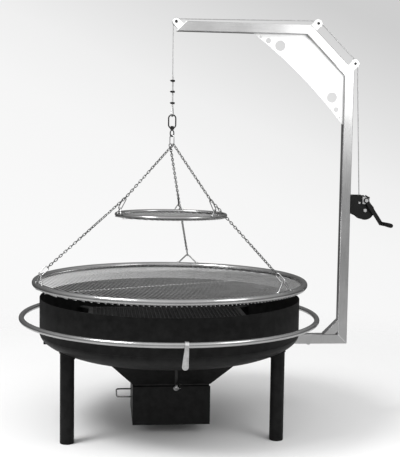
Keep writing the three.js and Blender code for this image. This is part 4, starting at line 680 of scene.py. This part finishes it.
seatRadius = swivel["masterInner"] + swivel["masterWire"]
seatCentre = swivel["masterMiddle"] - (swivel["masterLength"] / 2 - swivel["masterInner"])
endHalf, gap = chain["endPitch"] / 2, chain["gap"]
for number, (plan, seat) in enumerate(zip(plans, chain["seats"]), 1):
    out, aside = planAxes(plan)
    kink = planPoint(plan, chain["kinkRadius"], 0, chain["kinkHeight"])
    bigApex, smallApex = apex(grates["big"], plan), apex(grates["small"], plan)
    c, s = cos(radians(seat)), sin(radians(seat))
    seatPlace = planPoint(swivel["masterTurn"], seatRadius * c, 0, seatRadius * s + seatCentre)
    upperAlong = unit(kink - seatPlace)
    endCentre = seatPlace + upperAlong * (endHalf - swivel["masterWire"] - gap)
    endAcross = np.cross(upperAlong, planPoint(swivel["masterTurn"], -s, 0, c))
    endLink = placedLink(chain["wire"], chain["endInner"], chain["endPitch"], endCentre, upperAlong,
                         endAcross, 8, 8)
    upper, upperHalf = linkRun(endCentre, kink, endHalf, endAcross, aside)
    lowerAlong = unit(bigApex - kink)
    connectorFoot = bigApex + lowerAlong * (grates["big"]["wire"] + gap)
    connectorCentre = connectorFoot - lowerAlong * chain["connectorLength"] / 2
    chainEnd = connectorFoot + lowerAlong * (gap - chain["connectorLength"] - chain["pitch"] / 2)
    lower, _ = linkRun(kink, chainEnd, upperHalf, aside, aside)
    connector = placedLink(chain["connectorWire"], chain["connectorInner"], chain["connectorLength"],
                           connectorCentre, lowerAlong, np.cross(lowerAlong, aside), 12, 12)
    newPiece(f"connectorLink{number}", [connector], "hang", zincPlate, [f"connector_{number}"])
    hook = kink + lowerAlong * (upperHalf + 2 * (chain["weld"] - chain["wire"]) - chain["hangerWire"])
    hangerAlong = unit(smallApex - hook)
    hangerTop = hook + hangerAlong * chain["hangerWire"]
    hangerFoot = smallApex + hangerAlong * (1.5 * grates["small"]["wire"] + gap)
    hanger = placedLink(chain["hangerWire"], chain["hangerInner"], np.linalg.norm(hangerFoot - hangerTop),
                        (hangerTop + hangerFoot) / 2, hangerAlong, out, 10, 10)
    links = [endLink, *upper, *lower, hanger]
    newPiece(f"chain{number}", links, "hang", wireSteel, [f"chain_{number}"])

rounded("box_handle", "boxHandle", "box", ringSteel, 0.0012)
rounded("crank_grip", "crankGrip", "grip", mattGrip, 0.0015, 3)
print("chains made")

# Camera where the photograph was taken: heading from the Y axis, downward pitch and roll in degrees
view = {"place": (-0.5332, -4.8737, 1.4519), "heading": 5.904, "down": 4.783, "roll": 0.853, "lens": 84.39,
        "sensor": 36}
heading, down, roll = (radians(view[angle]) for angle in ("heading", "down", "roll"))
ahead = np.array([sin(heading) * cos(down), cos(heading) * cos(down), -sin(down)])
flatRight = np.array([cos(heading), -sin(heading), 0])
flatUp = np.cross(flatRight, ahead)
right, top = flatRight * cos(roll) + flatUp * sin(roll), flatUp * cos(roll) - flatRight * sin(roll)
axes = np.stack([right, top, -ahead], 1)
cameraData = bpy.data.cameras.new("photoView")
cameraData.lens, cameraData.sensor_width, cameraData.sensor_fit = view["lens"], view["sensor"], "HORIZONTAL"
camera = bpy.data.objects.new("photoView", cameraData)
camera.matrix_world = Matrix([[*row, place] for row, place in zip(axes, view["place"])] + [[0, 0, 0, 1]])
scene.collection.objects.link(camera)
scene.camera = camera
scene.view_settings.view_transform = "Standard"

# World: the camera sees a backdrop with painted shade, fading from near white to grey towards the upper right
# Other rays meet a dome, bright above and dark below, that dims from the front (Y = -1) to the back
# Stops are (place, grey), with places from -1 (down) to 1 (up)
sky = {"backdropShade": [(-1, 0.93), (-0.25, 0.95), (-0.1, 0.92), (-0.03, 0.87), (0.13, 0.62), (1, 0.60)],
       "lean": 0.45, "middle": 0.28,
       "felt": [(-1, 0.25), (-0.3, 0.25), (-0.1, 0.5), (0.1, 0.8), (0.45, 1.3), (1, 1.6)],
       "front": (-1, 1.0), "back": (0.9, 0.22)}
world = bpy.data.worlds.new("studio")
scene.world = world
world.use_nodes = True
nodes, links = world.node_tree.nodes, world.node_tree.links
coordinates, direction = nodes.new("ShaderNodeTexCoord"), nodes.new("ShaderNodeSeparateXYZ")
links.new(coordinates.outputs["Generated"], direction.inputs["Vector"])


# Grey levels by the ray's direction: place = z + lean (x - middle)
def skyRamp(stops, lean):
    offset, tilted = nodes.new("ShaderNodeMath"), nodes.new("ShaderNodeMath")
    offset.operation = tilted.operation = "MULTIPLY_ADD"
    offset.inputs[1].default_value, offset.inputs[2].default_value = lean, -sky["middle"] * lean
    tilted.inputs[1].default_value = 1.0
    spread, ramp = nodes.new("ShaderNodeMapRange"), nodes.new("ShaderNodeValToRGB")
    ranged(spread, -1, 1, 0, 1)
    links.new(direction.outputs["X"], offset.inputs[0])
    links.new(direction.outputs["Z"], tilted.inputs[0])
    links.new(offset.outputs["Value"], tilted.inputs[2])
    links.new(tilted.outputs["Value"], spread.inputs["Value"])
    links.new(spread.outputs["Result"], ramp.inputs["Fac"])
    for place, _ in stops[2:]:
        ramp.color_ramp.elements.new((place + 1) / 2)
    for element, (place, grey) in zip(ramp.color_ramp.elements, stops):
        element.position, element.color = (place + 1) / 2, (grey, grey, grey, 1)
    return ramp.outputs["Color"]


backdropShade, felt = skyRamp(sky["backdropShade"], sky["lean"]), skyRamp(sky["felt"], 0)
front, lit = nodes.new("ShaderNodeMapRange"), nodes.new("ShaderNodeMix")
ranged(front, sky["front"][0], sky["back"][0], sky["front"][1], sky["back"][1])
lit.data_type, lit.blend_type = "RGBA", "MULTIPLY"
lit.inputs["Factor"].default_value = 1.0
links.new(direction.outputs["Y"], front.inputs["Value"])
links.new(felt, lit.inputs["A"])
links.new(front.outputs["Result"], lit.inputs["B"])
ray, choose = nodes.new("ShaderNodeLightPath"), nodes.new("ShaderNodeMix")
choose.data_type = "RGBA"
links.new(ray.outputs["Is Camera Ray"], choose.inputs["Factor"])
links.new(lit.outputs["Result"], choose.inputs["A"])
links.new(backdropShade, choose.inputs["B"])
links.new(choose.outputs["Result"], nodes["Background"].inputs["Color"])
nodes["Background"].inputs["Strength"].default_value = 1.0

# Soft lights: a key from the upper left in front, and a small one near the top of the arm
aim = Vector((0, 0, 1.0))
for name, place, size, power in [("keyLight", (-3.0, -1.7, 4.6), 2.0, 190),
                                 ("armLight", (1.3, -1.5, 2.1), 1.0, 13)]:
    lamp = bpy.data.lights.new(name, "AREA")
    lamp.shape, lamp.size, lamp.energy = "DISK", size, power
    light = bpy.data.objects.new(name, lamp)
    light.location = place
    light.rotation_euler = (aim - Vector(place)).to_track_quat("-Z", "Y").to_euler()
    scene.collection.objects.link(light)

# Floor: a pale disc just under the feet that takes the shadow and fades out with distance
ground = {"radius": 4.2, "steps": 96, "level": -0.0005, "tone": 0.93, "rough": 0.9, "specular": 0.1,
          "fade": (1.0, 4.0)}
floorMesh = bpy.data.meshes.new("floor")
floorRim = levelRing(np.zeros(3), ground["radius"], ground["level"], ground["steps"])
floorMesh.from_pydata(floorRim.tolist(), [], [list(range(ground["steps"]))])
floor = bpy.data.objects.new("floor", floorMesh)
scene.collection.objects.link(floor)
pale = bpy.data.materials.new("paleFloor")
pale.use_nodes = True
nodes, links = pale.node_tree.nodes, pale.node_tree.links
shader, clear = nodes["Principled BSDF"], nodes.new("ShaderNodeBsdfTransparent")
mixed = nodes.new("ShaderNodeMixShader")
shader.inputs["Base Color"].default_value = tone(ground["tone"])
shader.inputs["Roughness"].default_value = ground["rough"]
shader.inputs["Specular IOR Level"].default_value = ground["specular"]
coordinates, distance = nodes.new("ShaderNodeTexCoord"), nodes.new("ShaderNodeVectorMath")
distance.operation = "LENGTH"
fade = nodes.new("ShaderNodeMapRange")
fade.interpolation_type = "SMOOTHSTEP"
ranged(fade, *ground["fade"], 0, 1)
links.new(coordinates.outputs["Object"], distance.inputs[0])
links.new(distance.outputs["Value"], fade.inputs["Value"])
links.new(fade.outputs["Result"], mixed.inputs["Fac"])
links.new(shader.outputs["BSDF"], mixed.inputs[1])
links.new(clear.outputs["BSDF"], mixed.inputs[2])
links.new(mixed.outputs["Shader"], nodes["Material Output"].inputs["Surface"])
floorMesh.materials.append(pale)
print("camera, world, lights and floor set")
